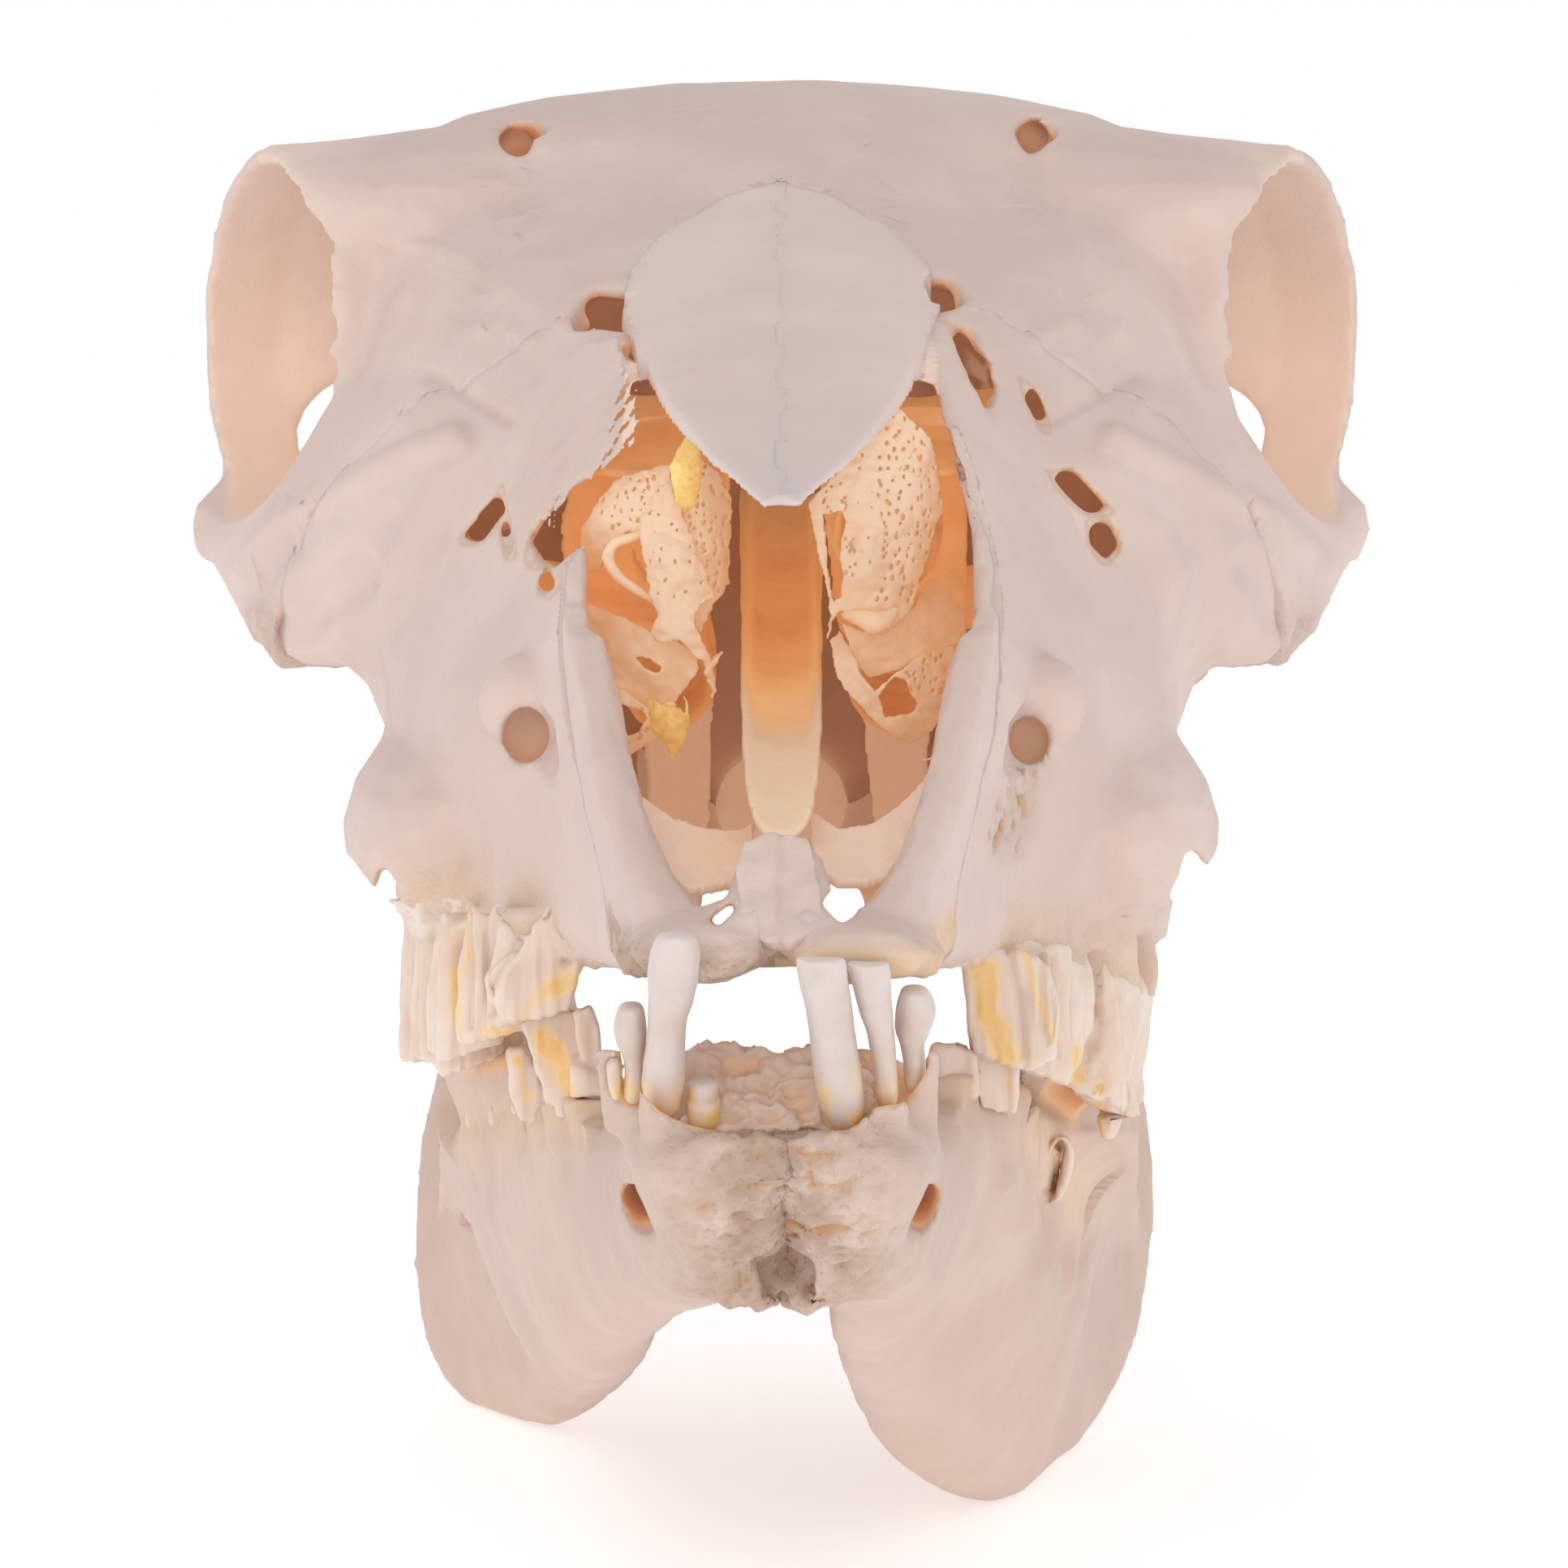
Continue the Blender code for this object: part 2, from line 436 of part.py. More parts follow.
def swelling(name, side, middle, radii, drop=0.0):
    x, y, z = middle
    return ellipsoid(name, (side * x, y, z - drop), radii)


def prism(name, outline, plane, low, high):
    """A flat outline given a thickness. plane is xy, yz or xz, and low and high its ends across it."""
    curve = bpy.data.curves.new(name, "CURVE")
    curve.dimensions = "2D"
    curve.fill_mode = "BOTH"
    curve.extrude = (high - low) / 2 * MM
    spline = curve.splines.new("POLY")
    spline.points.add(len(outline) - 1)
    for point, (a, b) in zip(spline.points, outline):
        point.co = (a * MM, b * MM, 0, 1)
    spline.use_cyclic_u = True
    obj = object_from(name + "_curve", curve)
    bpy.context.view_layer.update()
    mesh = bpy.data.meshes.new_from_object(obj.evaluated_get(bpy.context.evaluated_depsgraph_get()))
    bpy.data.objects.remove(obj)
    middle = (low + high) / 2 * MM
    place = {
        "xy": Matrix.Translation((0, 0, middle)),
        "yz": Matrix(((0, 0, 1, middle), (1, 0, 0, 0), (0, 1, 0, 0), (0, 0, 0, 1))),
        "xz": Matrix(((1, 0, 0, 0), (0, 0, 1, middle), (0, 1, 0, 0), (0, 0, 0, 1))),
    }[plane]
    bm = bmesh.new()
    bm.from_mesh(mesh)
    bm.transform(place)
    bmesh.ops.remove_doubles(bm, verts=bm.verts[:], dist=1e-6)
    bmesh.ops.recalc_face_normals(bm, faces=bm.faces[:])
    bm.to_mesh(mesh)
    bm.free()
    return object_from(name, mesh)


def ribbon(line, thickness):
    """Outline of a strip of even thickness along a flat line."""
    left, right = [], []
    for i, here in enumerate(line):
        ahead = Vector(line[min(i + 1, len(line) - 1)]) - Vector(line[max(i - 1, 0)])
        normal = Vector((-ahead.y, ahead.x)).normalized() * thickness / 2
        left.append(tuple(Vector(here) + normal))
        right.append(tuple(Vector(here) - normal))
    return left + right[::-1]


def apply_modifiers(obj):
    bpy.context.view_layer.update()
    graph = bpy.context.evaluated_depsgraph_get()
    mesh = bpy.data.meshes.new_from_object(obj.evaluated_get(graph))
    obj.modifiers.clear()
    obj.data = mesh
    return obj


def fuse(name, pieces, smooth, grid=GRID):
    """Joins overlapping closed pieces into one smoothed skin on a fine grid."""
    bm = bmesh.new()
    for piece in pieces:
        bm.from_mesh(piece.data)
    mesh = bpy.data.meshes.new(name)
    bm.to_mesh(mesh)
    bm.free()
    for piece in pieces:
        bpy.data.objects.remove(piece)
    return regrid(object_from(name, mesh), smooth, grid)


def regrid(obj, smooth, grid=GRID):
    remesh = obj.modifiers.new("grid", "REMESH")
    remesh.mode = "VOXEL"
    remesh.voxel_size = grid * MM
    relax = obj.modifiers.new("relax", "SMOOTH")
    relax.factor = 0.5
    relax.iterations = smooth
    return apply_modifiers(obj)


def boolean(obj, others, operation):
    """Cuts or joins obj with the other closed meshes, which are then removed."""
    group = bpy.data.collections.new("boolean")
    for other in others:
        group.objects.link(other)
    modifier = obj.modifiers.new(operation, "BOOLEAN")
    modifier.operation = operation
    modifier.solver = "MANIFOLD"
    modifier.operand_type = "COLLECTION"
    modifier.collection = group
    apply_modifiers(obj)
    for other in others:
        bpy.data.objects.remove(other)
    bpy.data.collections.remove(group)
    return obj


def one_boolean(obj, other, operation):
    modifier = obj.modifiers.new(operation, "BOOLEAN")
    modifier.operation = operation
    modifier.solver = "MANIFOLD"
    modifier.object = other
    apply_modifiers(obj)
    bpy.data.objects.remove(other)
    return obj


def thin_out(obj, faces):
    """Collapses the finest edges until about this many triangles are left."""
    bm = bmesh.new()
    bm.from_mesh(obj.data)
    bmesh.ops.triangulate(bm, faces=bm.faces[:])
    bm.to_mesh(obj.data)
    bm.free()
    modifier = obj.modifiers.new("thin", "DECIMATE")
    modifier.ratio = min(1.0, faces / len(obj.data.polygons))
    return apply_modifiers(obj)


def loose_parts(obj):
    """The closed surfaces of an object, largest first, as (volume, centre, object)."""
    bm = bmesh.new()
    bm.from_mesh(obj.data)
    bm.verts.ensure_lookup_table()
    seen = set()
    groups = []
    for vert in bm.verts:
        if vert.index in seen:
            continue
        stack, found = [vert], []
        seen.add(vert.index)
        while stack:
            here = stack.pop()
            found.append(here.index)
            for edge in here.link_edges:
                other = edge.other_vert(here)
                if other.index not in seen:
                    seen.add(other.index)
                    stack.append(other)
        groups.append(set(found))
    parts = []
    for found in groups:
        part = bmesh.new()
        made = {i: part.verts.new(bm.verts[i].co) for i in found}
        for face in {f for i in found for f in bm.verts[i].link_faces}:
            part.faces.new([made[v.index] for v in face.verts])
        volume = part.calc_volume(signed=True) / MM**3
        centre = sum((v.co for v in part.verts), Vector()) / len(part.verts) / MM
        mesh = bpy.data.meshes.new(obj.name)
        part.to_mesh(mesh)
        part.free()
        parts.append((volume, centre, mesh))
    bm.free()
    bpy.data.objects.remove(obj)
    return sorted(parts, key=lambda p: -p[0])


def keep_node(name, mesh, material):
    """Puts a finished closed mesh in the skull's collection under its node name."""
    obj = bpy.data.objects.new(name, mesh)
    mesh.name = name
    mesh.materials.clear()
    mesh.materials.append(material)
    mesh.shade_smooth()
    mesh.set_sharp_from_angle(angle=math.radians(40))
    SKULL.objects.link(obj)
    return obj


def head_ring(section, steps=5):
    """A smooth closed ring in the plane of one section row."""
    y, top, *sides, bottom = section
    right = [(0.0, top)] + list(sides) + [(0.0, bottom)]
    left = [(-x, z) for x, z in reversed(sides)]
    ring = smooth_line([(x, z) for x, z in right + left], steps, closed=True)
    return [(p.x, y, p.y) for p in ring]


def section_rows(sections, steps):
    """Section rows with smooth ones filled in between them."""
    flat = []
    for y, top, *sides, bottom in sections:
        flat.append((y, top, *[n for side in sides for n in side], bottom))
    rows = []
    for row in smooth_line(flat, steps):
        values = list(row)
        sides = list(zip(values[2:-1:2], values[3:-1:2]))
        rows.append((values[0], values[1], *sides, values[-1]))
    return rows


def head_form():
    return loft("head", [head_ring(row) for row in section_rows(HEAD_SECTIONS, 3)])


def nasal_cavity():
    return loft("cavity", [head_ring(row) for row in section_rows(CAVITY_SECTIONS, 3)])


def orbit_frame(side):
    """Middle of the rim and the socket's own axes: forward along the rim, up, and inwards."""
    x, y, z = ORBIT_CENTRE
    along = Vector((side * math.sin(ORBIT_TURN), math.cos(ORBIT_TURN), 0))
    inwards = Vector((-side * math.cos(ORBIT_TURN), math.sin(ORBIT_TURN) + 0.16, -0.1)).normalized()
    return Vector((side * x, y, z)), along, inwards


def orbit_rings(side, profile, grow, square):
    centre, along, inwards = orbit_frame(side)
    rings = []
    for depth, share in profile:
        ring = []
        for k in range(28):
            angle = 2 * math.pi * k / 28
            c, s = math.cos(angle), math.sin(angle)
            corner = share * (max(abs(c), abs(s)) ** -square if c < 0 else 1.0)
            wide = (ORBIT_HALF_WIDTH + grow) * corner * c
            high = (ORBIT_HALF_HEIGHT + grow) * corner * s
            ring.append(centre + along * wide + Vector((0, 0, 1)) * high + inwards * depth)
        rings.append(ring)
    return rings


def eye_sockets():
    cups, hollows = [], []
    for side in (-1, 1):
        cups.append(loft("cup", orbit_rings(side, CUP_PROFILE, ORBIT_WALL, 0)))
        hollows.append(loft("socket", orbit_rings(side, SOCKET_PROFILE, 0, ORBIT_SQUARE)))
    return cups, hollows


def brow(side):
    """The forehead's wing over the eye socket."""
    rings = []
    for x, y, z, half_length, half_height in BROW:
        ring = []
        for k in range(16):
            angle = 2 * math.pi * k / 16
            ring.append((side * x, y + half_length * math.cos(angle), z + half_height * math.sin(angle)))
        rings.append(ring)
    return loft("brow", rings)


def cheek(side):
    """The cheek bone below the socket, flaring to a rough lower crest, and the arch behind it."""
    rings = []
    for y, *corners in CHEEK_SECTIONS:
        ring = smooth_line(corners, 4, closed=True)
        rings.append([(side * p.x, y, p.y) for p in ring])
    return [loft("cheek", rings), tube("arch", on_side(side, ARCH), flat=1.3)]


def facial_tuber(side):
    return [swelling("tuber", side, *TUBER), tube("hook", on_side(side, HOOK))]


def skull_base(side):
    """Spine knob, ear bulb, jaw joint and middle of the base, with the two processes of one side."""
    made = [swelling("base", side, *row) for row in BASE_SWELLINGS]
    made.append(tube("jugular", on_side(side, JUGULAR), flat=0.7, across=(1, 0, 0)))
    made.append(tube("ear_canal", on_side(side, EAR_CANAL)))
    made.append(tube("pterygoid", on_side(side, PTERYGOID), flat=1.7))
    return made


def snout(side):
    """The toothless pad of the upper jaw, its arm beside the nose opening and its inner process."""
    rings = []
    for y, x, z, half, tall in PAD:
        angles = [2 * math.pi * k / 16 for k in range(16)]
        rings.append([(side * (x + half * math.cos(a)), y, z + tall * math.sin(a)) for a in angles])
    return [
        loft("pad", rings),
        swelling("flange", side, *FLANGE),
        tube("arm", on_side(side, SNOUT_ARM)),
        tube("process", on_side(side, SNOUT_PROCESS), flat=1.3),
    ]


def holes():
    """Passages, palatine fissures and hollows that are cut out of the bone."""
    made = []
    for side in (-1, 1):
        made += [tube("passage", on_side(side, rows), flat=tall) for rows, tall in PASSAGES]
        made += [swelling("hollow", side, *row) for row in HOLLOWS]
    made += [ellipsoid("tear_hole", *row) for row in TEAR_HOLES]
    made += [tube("slit", rows, flat=SLIT_HEIGHT) for rows in SLITS]
    made.append(prism("left_gap", LEFT_GAP, "xz", LEFT_GAP_FRONT, LEFT_GAP_BACK))
    made.append(tube("choana", CHOANA, flat=0.9))
    made.append(ellipsoid("spine_opening", *SPINE_OPENING))
    return made


def above_arms():
    """Everything above the arms' edge and in front of the notch, where the nose is open."""
    low = (-FAR, ARM_EDGE[0][1])
    outline = [low] + list(ARM_EDGE) + [NOTCH, (NOTCH[0], FAR), (-FAR, FAR)]
    return prism("above_arms", outline, "yz", -FAR, FAR)


def nasal_prism(name, side, grow):
    """One nasal bone's outline seen from above, given its height; grow widens it all round."""
    inner = -grow * side
    outline = [(inner, NASAL_OUTLINE[0][1] - grow)]
    for x, y in NASAL_OUTLINE[1:-1]:
        back = 1 if y > 60 else -0.3
        outline.append((side * (x + grow), y + back * grow * 0.7))
    outline.append((inner, NASAL_OUTLINE[-1][1] + grow))
    return prism(name, outline, "xy", NASAL_FLOOR, FAR)


def cheek_tooth(name, side, row, upward):
    """A cheek tooth of one or two columns, from its root in the bone to its chewing surface."""
    y, x, length, width, lean, root, crown = row
    columns = 2 if length > 9.5 else 1
    rings = []
    for share, shrink in ((0.0, 0.92), (0.55, 1.0), (0.92, 0.97), (1.0, 0.84)):
        z = root + (crown - root) * share
        ring = []
        for k in range(14):
            angle = 2 * math.pi * k / 14
            c, s = math.cos(angle), math.sin(angle)
            square = max(abs(c), abs(s)) ** -0.5
            ridge = 1.0 - 0.1 * math.cos(columns * math.pi * c)
            dy = 0.5 * length * c * square * shrink
            dx = 0.5 * width * s * square * shrink * ridge
            # The chewing surface slopes, and its outer edge hangs lowest.
            tilt = -0.30 * dx if share > 0.9 else 0.0
            ring.append(((x + lean * share + dx) * side, y + dy, z + (tilt if not upward else -tilt)))
        rings.append(ring)
    return loft(name, rings)


def incisor(name, side, row):
    """A front tooth: a round root that widens and flattens into a chisel crown."""
    root, middle, tip, root_width, middle_width, tip_width = row
    line = smooth_line([(side * root[0], *root[1:]), (side * middle[0], *middle[1:]), (side * tip[0], *tip[1:])], 3)
    rings = []
    for i, here in enumerate(line):
        share = i / (len(line) - 1)
        ahead = (line[min(i + 1, len(line) - 1)] - line[max(i - 1, 0)]).normalized()
        side_way = Vector((1, 0, 0)) - ahead * ahead.x
        side_way.normalize()
        front_way = ahead.cross(side_way)
        width = between(((0, root_width), (0.5, middle_width), (0.86, tip_width), (1, tip_width * 0.72)), share)
        depth = between(((0, root_width * 0.9), (0.5, middle_width * 0.8), (1, 1.1)), share)
        ring = []
        for k in range(8):
            angle = 2 * math.pi * k / 8
            ring.append(here + side_way * math.cos(angle) * width / 2 + front_way * math.sin(angle) * depth / 2)
        rings.append(ring)
    return loft(name, rings)


def jaw_ring(row, side, points=18):
    """One cross-section of a jaw half: a plate with a blunt lower and a rounder upper edge."""
    y, low, high, thick_low, thick_high = row
    low, high = Vector((side * low[0], low[1])), Vector((side * high[0], high[1]))
    middle = (low + high) / 2
    along = (high - low) / 2
    across = Vector((-along.y, along.x)).normalized()
    ring = []
    for k in range(points):
        angle = 2 * math.pi * k / points
        c, s = math.cos(angle), math.sin(angle)
        if c < 0:
            c = -abs(c) ** LOWER_EDGE_BLUNT
            s = math.copysign(abs(s) ** LOWER_EDGE_BLUNT, s)
        else:
            s *= max(abs(c), abs(s)) ** -0.5
        thick = thick_low + (thick_high - thick_low) * (c + 1) / 2
        p = middle + along * c + across * s * thick / 2
        ring.append((p.x - side * between(RAMUS_BOW, y) * (1 - c * c), y, p.y))
    return ring


def jaw_rows(table, steps=3):
    flat = [(y, *low, *high, below, above) for y, low, high, below, above in table]
    rows = []
    for row in smooth_line(flat, steps):
        v = list(row)
        rows.append((v[0], (v[1], v[2]), (v[3], v[4]), v[5], v[6]))
    return rows


def jaw_half(name, side, table, teeth, incisors, drop):
    """One half of the lower jaw with its teeth; drop is how far its joint end has come down."""
    pieces = [
        loft("body", [jaw_ring(row, side) for row in jaw_rows(table)]),
        swelling("knob", side, *KNOB, drop),
        tube("neck", on_side(side, NECK, drop), across=(1, 0, 0)),
        tube("coronoid", on_side(side, CORONOID, drop), across=(1, 0, 0), flat=0.5),
    ]
    bone = fuse(name, pieces, SMOOTH_FORM)
    pits = [
        tube("mental", on_side(side, MENTAL)),
        swelling("knob_notch", side, *KNOB_NOTCH, drop),
        swelling("chin_pit", side, *CHIN_PIT),
    ]
    if side > 0:
        pits.append(ellipsoid("crypt", *CRYPT))
    boolean(bone, pits, "DIFFERENCE")
    thin_out(bone, JAW_FACES)
    below_floor = [(-FAR, -FAR), (2 * FAR, -FAR), (2 * FAR, 0), (-FAR, 0)]
    other_half = [(-FAR, -FAR), (FAR, -FAR), (FAR, FAR), (-FAR, FAR)]
    inner = (-FAR, SEAM / 2) if side > 0 else (-SEAM / 2, FAR)
    flats = [prism("floor", below_floor, "yz", -FAR, FAR), prism("midline", other_half, "yz", *inner)]
    boolean(bone, flats, "DIFFERENCE")
    crowns = [cheek_tooth("crown", side, row, True) for row in teeth]
    crowns += [incisor("incisor", side, row) for row in incisors]
    return boolean(bone, crowns, "UNION")


def vomer():
    """The trough that holds up the nose's partition, with its keel down to the palate."""
    line = smooth_line(VOMER_LINE, 2)
    rings = []
    for p in line:
        y, z = p
        half = between(VOMER_WIDTHS, y)
        tall = between(VOMER_HEIGHTS, y) * half
        inner = max(0.4, half - VOMER_WALL)
        outer_side = [(half, tall), (half, tall * 0.3), (half * 0.82, -0.1), (0.55, -1.2)]
        keel = [(0.55, min(-1.9, between(VOMER_KEEL, y) - z))]
        half_ring = [(inner, tall), (inner, tall * 0.36), (inner * 0.8, VOMER_WALL * 0.9)]
        right = half_ring[::-1] + outer_side + keel
        ring = [(x, y, z + h) for x, h in right]
        ring += [(-x, y, z + h) for x, h in reversed(right)]
        rings.append(ring)
    return loft("vomer", rings)


def scroll(name, side, rows, start, turn):
    """A rolled leaf of thin bone inside the nose; it uncoils towards the side wall and stops short of it."""
    steps = 14
    rings = []
    for y, x, z, size in rows:
        outer, inner = [], []
        for k in range(steps + 1):
            t = k / steps
            angle = math.radians(start + turn * t)
            reach = size * (1.0 - 0.66 * t)
            direction = Vector((math.cos(angle), math.sin(angle)))
            here = Vector((x, z)) + direction * reach
            outer.append(here + direction * LEAF / 2)
            inner.append(here - direction * LEAF / 2)
        angle = math.radians(start)
        wall = Vector((x + LEAF_LENGTH, z + size * math.sin(angle) + 2))
        ring = [wall + Vector((0, LEAF / 2))] + outer + inner[::-1] + [wall - Vector((0, LEAF / 2))]
        rings.append([(side * p.x, y, p.y) for p in ring])
    leaf = loft(name, rings)
    limit = loft("limit", [
        [(px * LEAF_REACH, y, pz if pz < 100 else 100 + (pz - 100) * LEAF_REACH) for px, y, pz in head_ring(row)]
        for row in section_rows(CAVITY_SECTIONS, 3)
    ])
    return one_boolean(leaf, limit, "INTERSECT")


def build_nasals():
    """The two nasal bones, cut from the hollow head form."""
    for side, name in ((-1, "nasal_left"), (1, "nasal_right")):
        shell = fuse("shell", [head_form()], SMOOTH_FORM)
        one_boolean(shell, nasal_cavity(), "DIFFERENCE")
        thin_out(shell, SHELL_FACES)
        one_boolean(shell, nasal_prism("keep", side, -SEAM / 2), "INTERSECT")
        part = loose_parts(shell)[0]
        keep_node(name, part[2], FACE_MATERIAL)


def build_cranium():
    """Cranium, both upper jaws and both snout bones: one form, hollowed and parted at its sutures."""
    cups, hollows = eye_sockets()
    pieces = [head_form()] + cups
    for side in (-1, 1):
        pieces += [brow(side)] + cheek(side) + facial_tuber(side) + skull_base(side)
    form = fuse("form", pieces, SMOOTH_FORM)
    boolean(form, [nasal_cavity()] + hollows, "DIFFERENCE")
    one_boolean(form, above_arms(), "DIFFERENCE")
    snouts = [piece for side in (-1, 1) for piece in snout(side)]
    boolean(form, snouts, "UNION")
    boolean(form, holes(), "DIFFERENCE")
    regrid(form, SMOOTH_EDGES, FINE_GRID)
    thin_out(form, FORM_FACES)
    cuts = [
        nasal_prism("nasal_gap_left", -1, SEAM / 2),
        nasal_prism("nasal_gap_right", 1, SEAM / 2),
        prism("maxilla_cut", ribbon(MAXILLA_SUTURE, SEAM), "yz", -FAR, FAR),
        prism("snout_cut", ribbon(SNOUT_SUTURE, SEAM), "yz", -FAR, FAR),
        prism("palate_cut", PALATE_CUT, "yz", -SEAM / 2, SEAM / 2),
    ]
    for cut in cuts:
        one_boolean(form, cut, "DIFFERENCE")
    parts = loose_parts(form)
    names = ["cranium"]
    for volume, centre, mesh in parts:
        if volume < SMALLEST_BONE:
            continue
        side = "left" if centre.x < 0 else "right"
        if centre.y > CRANIUM_FROM:
            name = "cranium"
        elif centre.y > MAXILLA_FROM:
            name = "maxilla_" + side
        else:
            name = "premaxilla_" + side
        if name in names and name != "cranium":
            continue
        names.append(name)
        FOUND[name] = mesh


def centre_on_origin():
    """Moves the finished skull so that the middle of its length and width is over the origin."""
    points = [v.co for obj in SKULL.objects for v in obj.data.vertices]
    middle = [(min(p[i] for p in points) + max(p[i] for p in points)) / 2 for i in (0, 1)]
    lowest = min(p.z for p in points)
    for obj in SKULL.objects:
        obj.data.transform(Matrix.Translation((-middle[0], -middle[1], -lowest)))


def main():
    build_cranium()
    upper = {"left": UPPER_TEETH_LEFT, "right": UPPER_TEETH_RIGHT}
    for side, name in ((-1, "left"), (1, "right")):
        maxilla = object_from("maxilla", FOUND["maxilla_" + name])
        boolean(maxilla, [cheek_tooth("crown", side, row, False) for row in upper[name]], "UNION")
        keep_node("maxilla_" + name, loose_parts(maxilla)[0][2], BONE_MATERIAL)
        keep_node("premaxilla_" + name, FOUND["premaxilla_" + name], FACE_MATERIAL)
    keep_node("cranium", FOUND["cranium"], BONE_MATERIAL)
    build_nasals()
    keep_node("vomer", loose_parts(vomer())[0][2], INNER_MATERIAL)
    for side, name in ((-1, "left"), (1, "right")):
        upper_leaf = scroll("upper_leaf", side, UPPER_SCROLL, *UPPER_TURN)
        keep_node("turbinate_upper_" + name, loose_parts(upper_leaf)[0][2], INNER_MATERIAL)
        lower_leaf = scroll("lower_leaf", side, LOWER_SCROLL, *LOWER_TURN)
        keep_node("turbinate_lower_" + name, loose_parts(lower_leaf)[0][2], INNER_MATERIAL)
        table, teeth, incisors, drop = (
            (JAW_LEFT, LOWER_TEETH_LEFT, INCISORS_LEFT, 0.0)
            if side < 0
            else (JAW_RIGHT, LOWER_TEETH_RIGHT, INCISORS_RIGHT, RIGHT_DROP)
        )
        jaw = jaw_half("jaw", side, table, teeth, incisors, drop)
        keep_node("mandible_" + name, loose_parts(jaw)[0][2], BONE_MATERIAL)
    for obj in list(SCRAP.objects):
        bpy.data.objects.remove(obj)
    centre_on_origin()


clear_scene()
SKULL = make_collection("sheep_skull")
SCRAP = make_collection("cutters", hidden=True)
BONE_MATERIAL = make_material("bone", BONE, 0.55)
FACE_MATERIAL = make_material("face_bone", FACE_BONE, 0.5)
INNER_MATERIAL = make_material("inner_bone", INNER_BONE, 0.6)
FOUND = {}
main()
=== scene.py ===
# %% [markdown]
# # The skull of a young sheep
# This is a life-size museum model of a hornless sheep's skull with both halves of its lower jaw.
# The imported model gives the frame: where every bone is and how large. Here each bone is copied
# from that frame, carved, given its pores, seams and broken edges, and then its colour.

# %% Load the frame
import math
import random

import bmesh
import bpy
import numpy as np
from mathutils import Matrix, Vector
from mathutils.bvhtree import BVHTree


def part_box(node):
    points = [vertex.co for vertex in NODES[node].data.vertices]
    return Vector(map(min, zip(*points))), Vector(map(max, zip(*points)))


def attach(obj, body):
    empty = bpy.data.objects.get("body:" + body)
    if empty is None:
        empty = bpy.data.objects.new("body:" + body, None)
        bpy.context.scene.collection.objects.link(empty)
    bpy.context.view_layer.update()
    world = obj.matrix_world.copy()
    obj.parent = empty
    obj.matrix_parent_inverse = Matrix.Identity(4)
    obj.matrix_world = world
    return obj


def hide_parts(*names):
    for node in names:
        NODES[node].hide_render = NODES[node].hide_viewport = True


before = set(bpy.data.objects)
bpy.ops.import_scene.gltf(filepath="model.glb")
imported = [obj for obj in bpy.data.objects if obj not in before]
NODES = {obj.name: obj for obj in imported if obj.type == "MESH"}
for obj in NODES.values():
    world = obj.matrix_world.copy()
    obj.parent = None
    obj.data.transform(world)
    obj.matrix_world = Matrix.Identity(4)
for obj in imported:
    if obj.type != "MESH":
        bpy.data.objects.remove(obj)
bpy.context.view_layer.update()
print("bones in the frame:", ", ".join(sorted(NODES)))

# %% [markdown]
# ## Measuring in millimetres from the front of the upper jaw
# Bones are easiest to think of in millimetres, counted back from the front edge of the upper jaw.
# One small function turns such a measure into the frame's metres, so every later cell can use
# plain numbers that could be read off a real skull with callipers.

# %% Millimetres
MM = 0.001
PAD_FRONT = -0.5
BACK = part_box("premaxilla_left")[0][1] - PAD_FRONT * MM


def at(x, y, z):
    """A place in metres from millimetres to the right, back from the upper jaw, and up."""
    return Vector((x * MM, y * MM + BACK, z * MM))


print("the front of the upper jaw is at y =", round(BACK, 4))

# %% [markdown]
# ## The camera
# The camera looks straight at the face from half a metre in front, level with the forehead and
# tipped down by six degrees. It is made first, because many later places are found through it.
# Places can also be read off the picture, which is 1932 points wide: a picture point and a depth
# give one place on the skull.

# %% Camera
PICTURE, MIDDLE, SHIFT, FOCAL, SENSOR = 1932, 966, 3, 7700, 36
CAMERA_Y, CAMERA_Z, TIPPED = -495, 134.6, math.radians(6)
SIN, COS = math.sin(TIPPED), math.cos(TIPPED)


def seen(u, v, y):
    """Millimetres of a picture point at a depth y behind the upper jaw's front."""
    slope, far = (v - MIDDLE) / FOCAL, y - CAMERA_Y
    down = far * (SIN + slope * COS) / (COS - slope * SIN)
    return ((u - MIDDLE + SHIFT) / FOCAL * (far * COS + down * SIN), y, CAMERA_Z - down)


def linked(obj):
    bpy.context.scene.collection.objects.link(obj)
    return obj


camera = linked(bpy.data.objects.new("camera", bpy.data.cameras.new("camera")))
camera.data.sensor_width = SENSOR
camera.data.lens = SENSOR * FOCAL / PICTURE
camera.data.shift_x = SHIFT / PICTURE
camera.data.clip_start = 0.01
camera.location = at(0, CAMERA_Y, CAMERA_Z)
camera.rotation_euler = (math.radians(90) - TIPPED, 0, 0)
bpy.context.scene.camera = camera
print("the camera's lens is", round(camera.data.lens, 1), "mm long")

# %% [markdown]
# ## Copies, cuts and a fine skin
# A bone starts as a copy of its frame mesh. The copy comes as loose triangles, so it is merged
# before anything else is done to it. Cutters are closed shapes that a Boolean modifier takes
# away. Then a voxel remesh gives the bone an even skin that is fine enough for pores.

# %% Tools for carving
COARSE = 1.0
MOST_FACES = 190000


def only(obj):
    """Makes obj the single selected and active object."""
    bpy.ops.object.select_all(action="DESELECT")
    obj.select_set(True)
    bpy.context.view_layer.objects.active = obj


def apply_all(obj):
    """Applies every modifier of obj, first to last."""
    only(obj)
    for modifier in list(obj.modifiers):
        bpy.ops.object.modifier_apply(modifier=modifier.name)


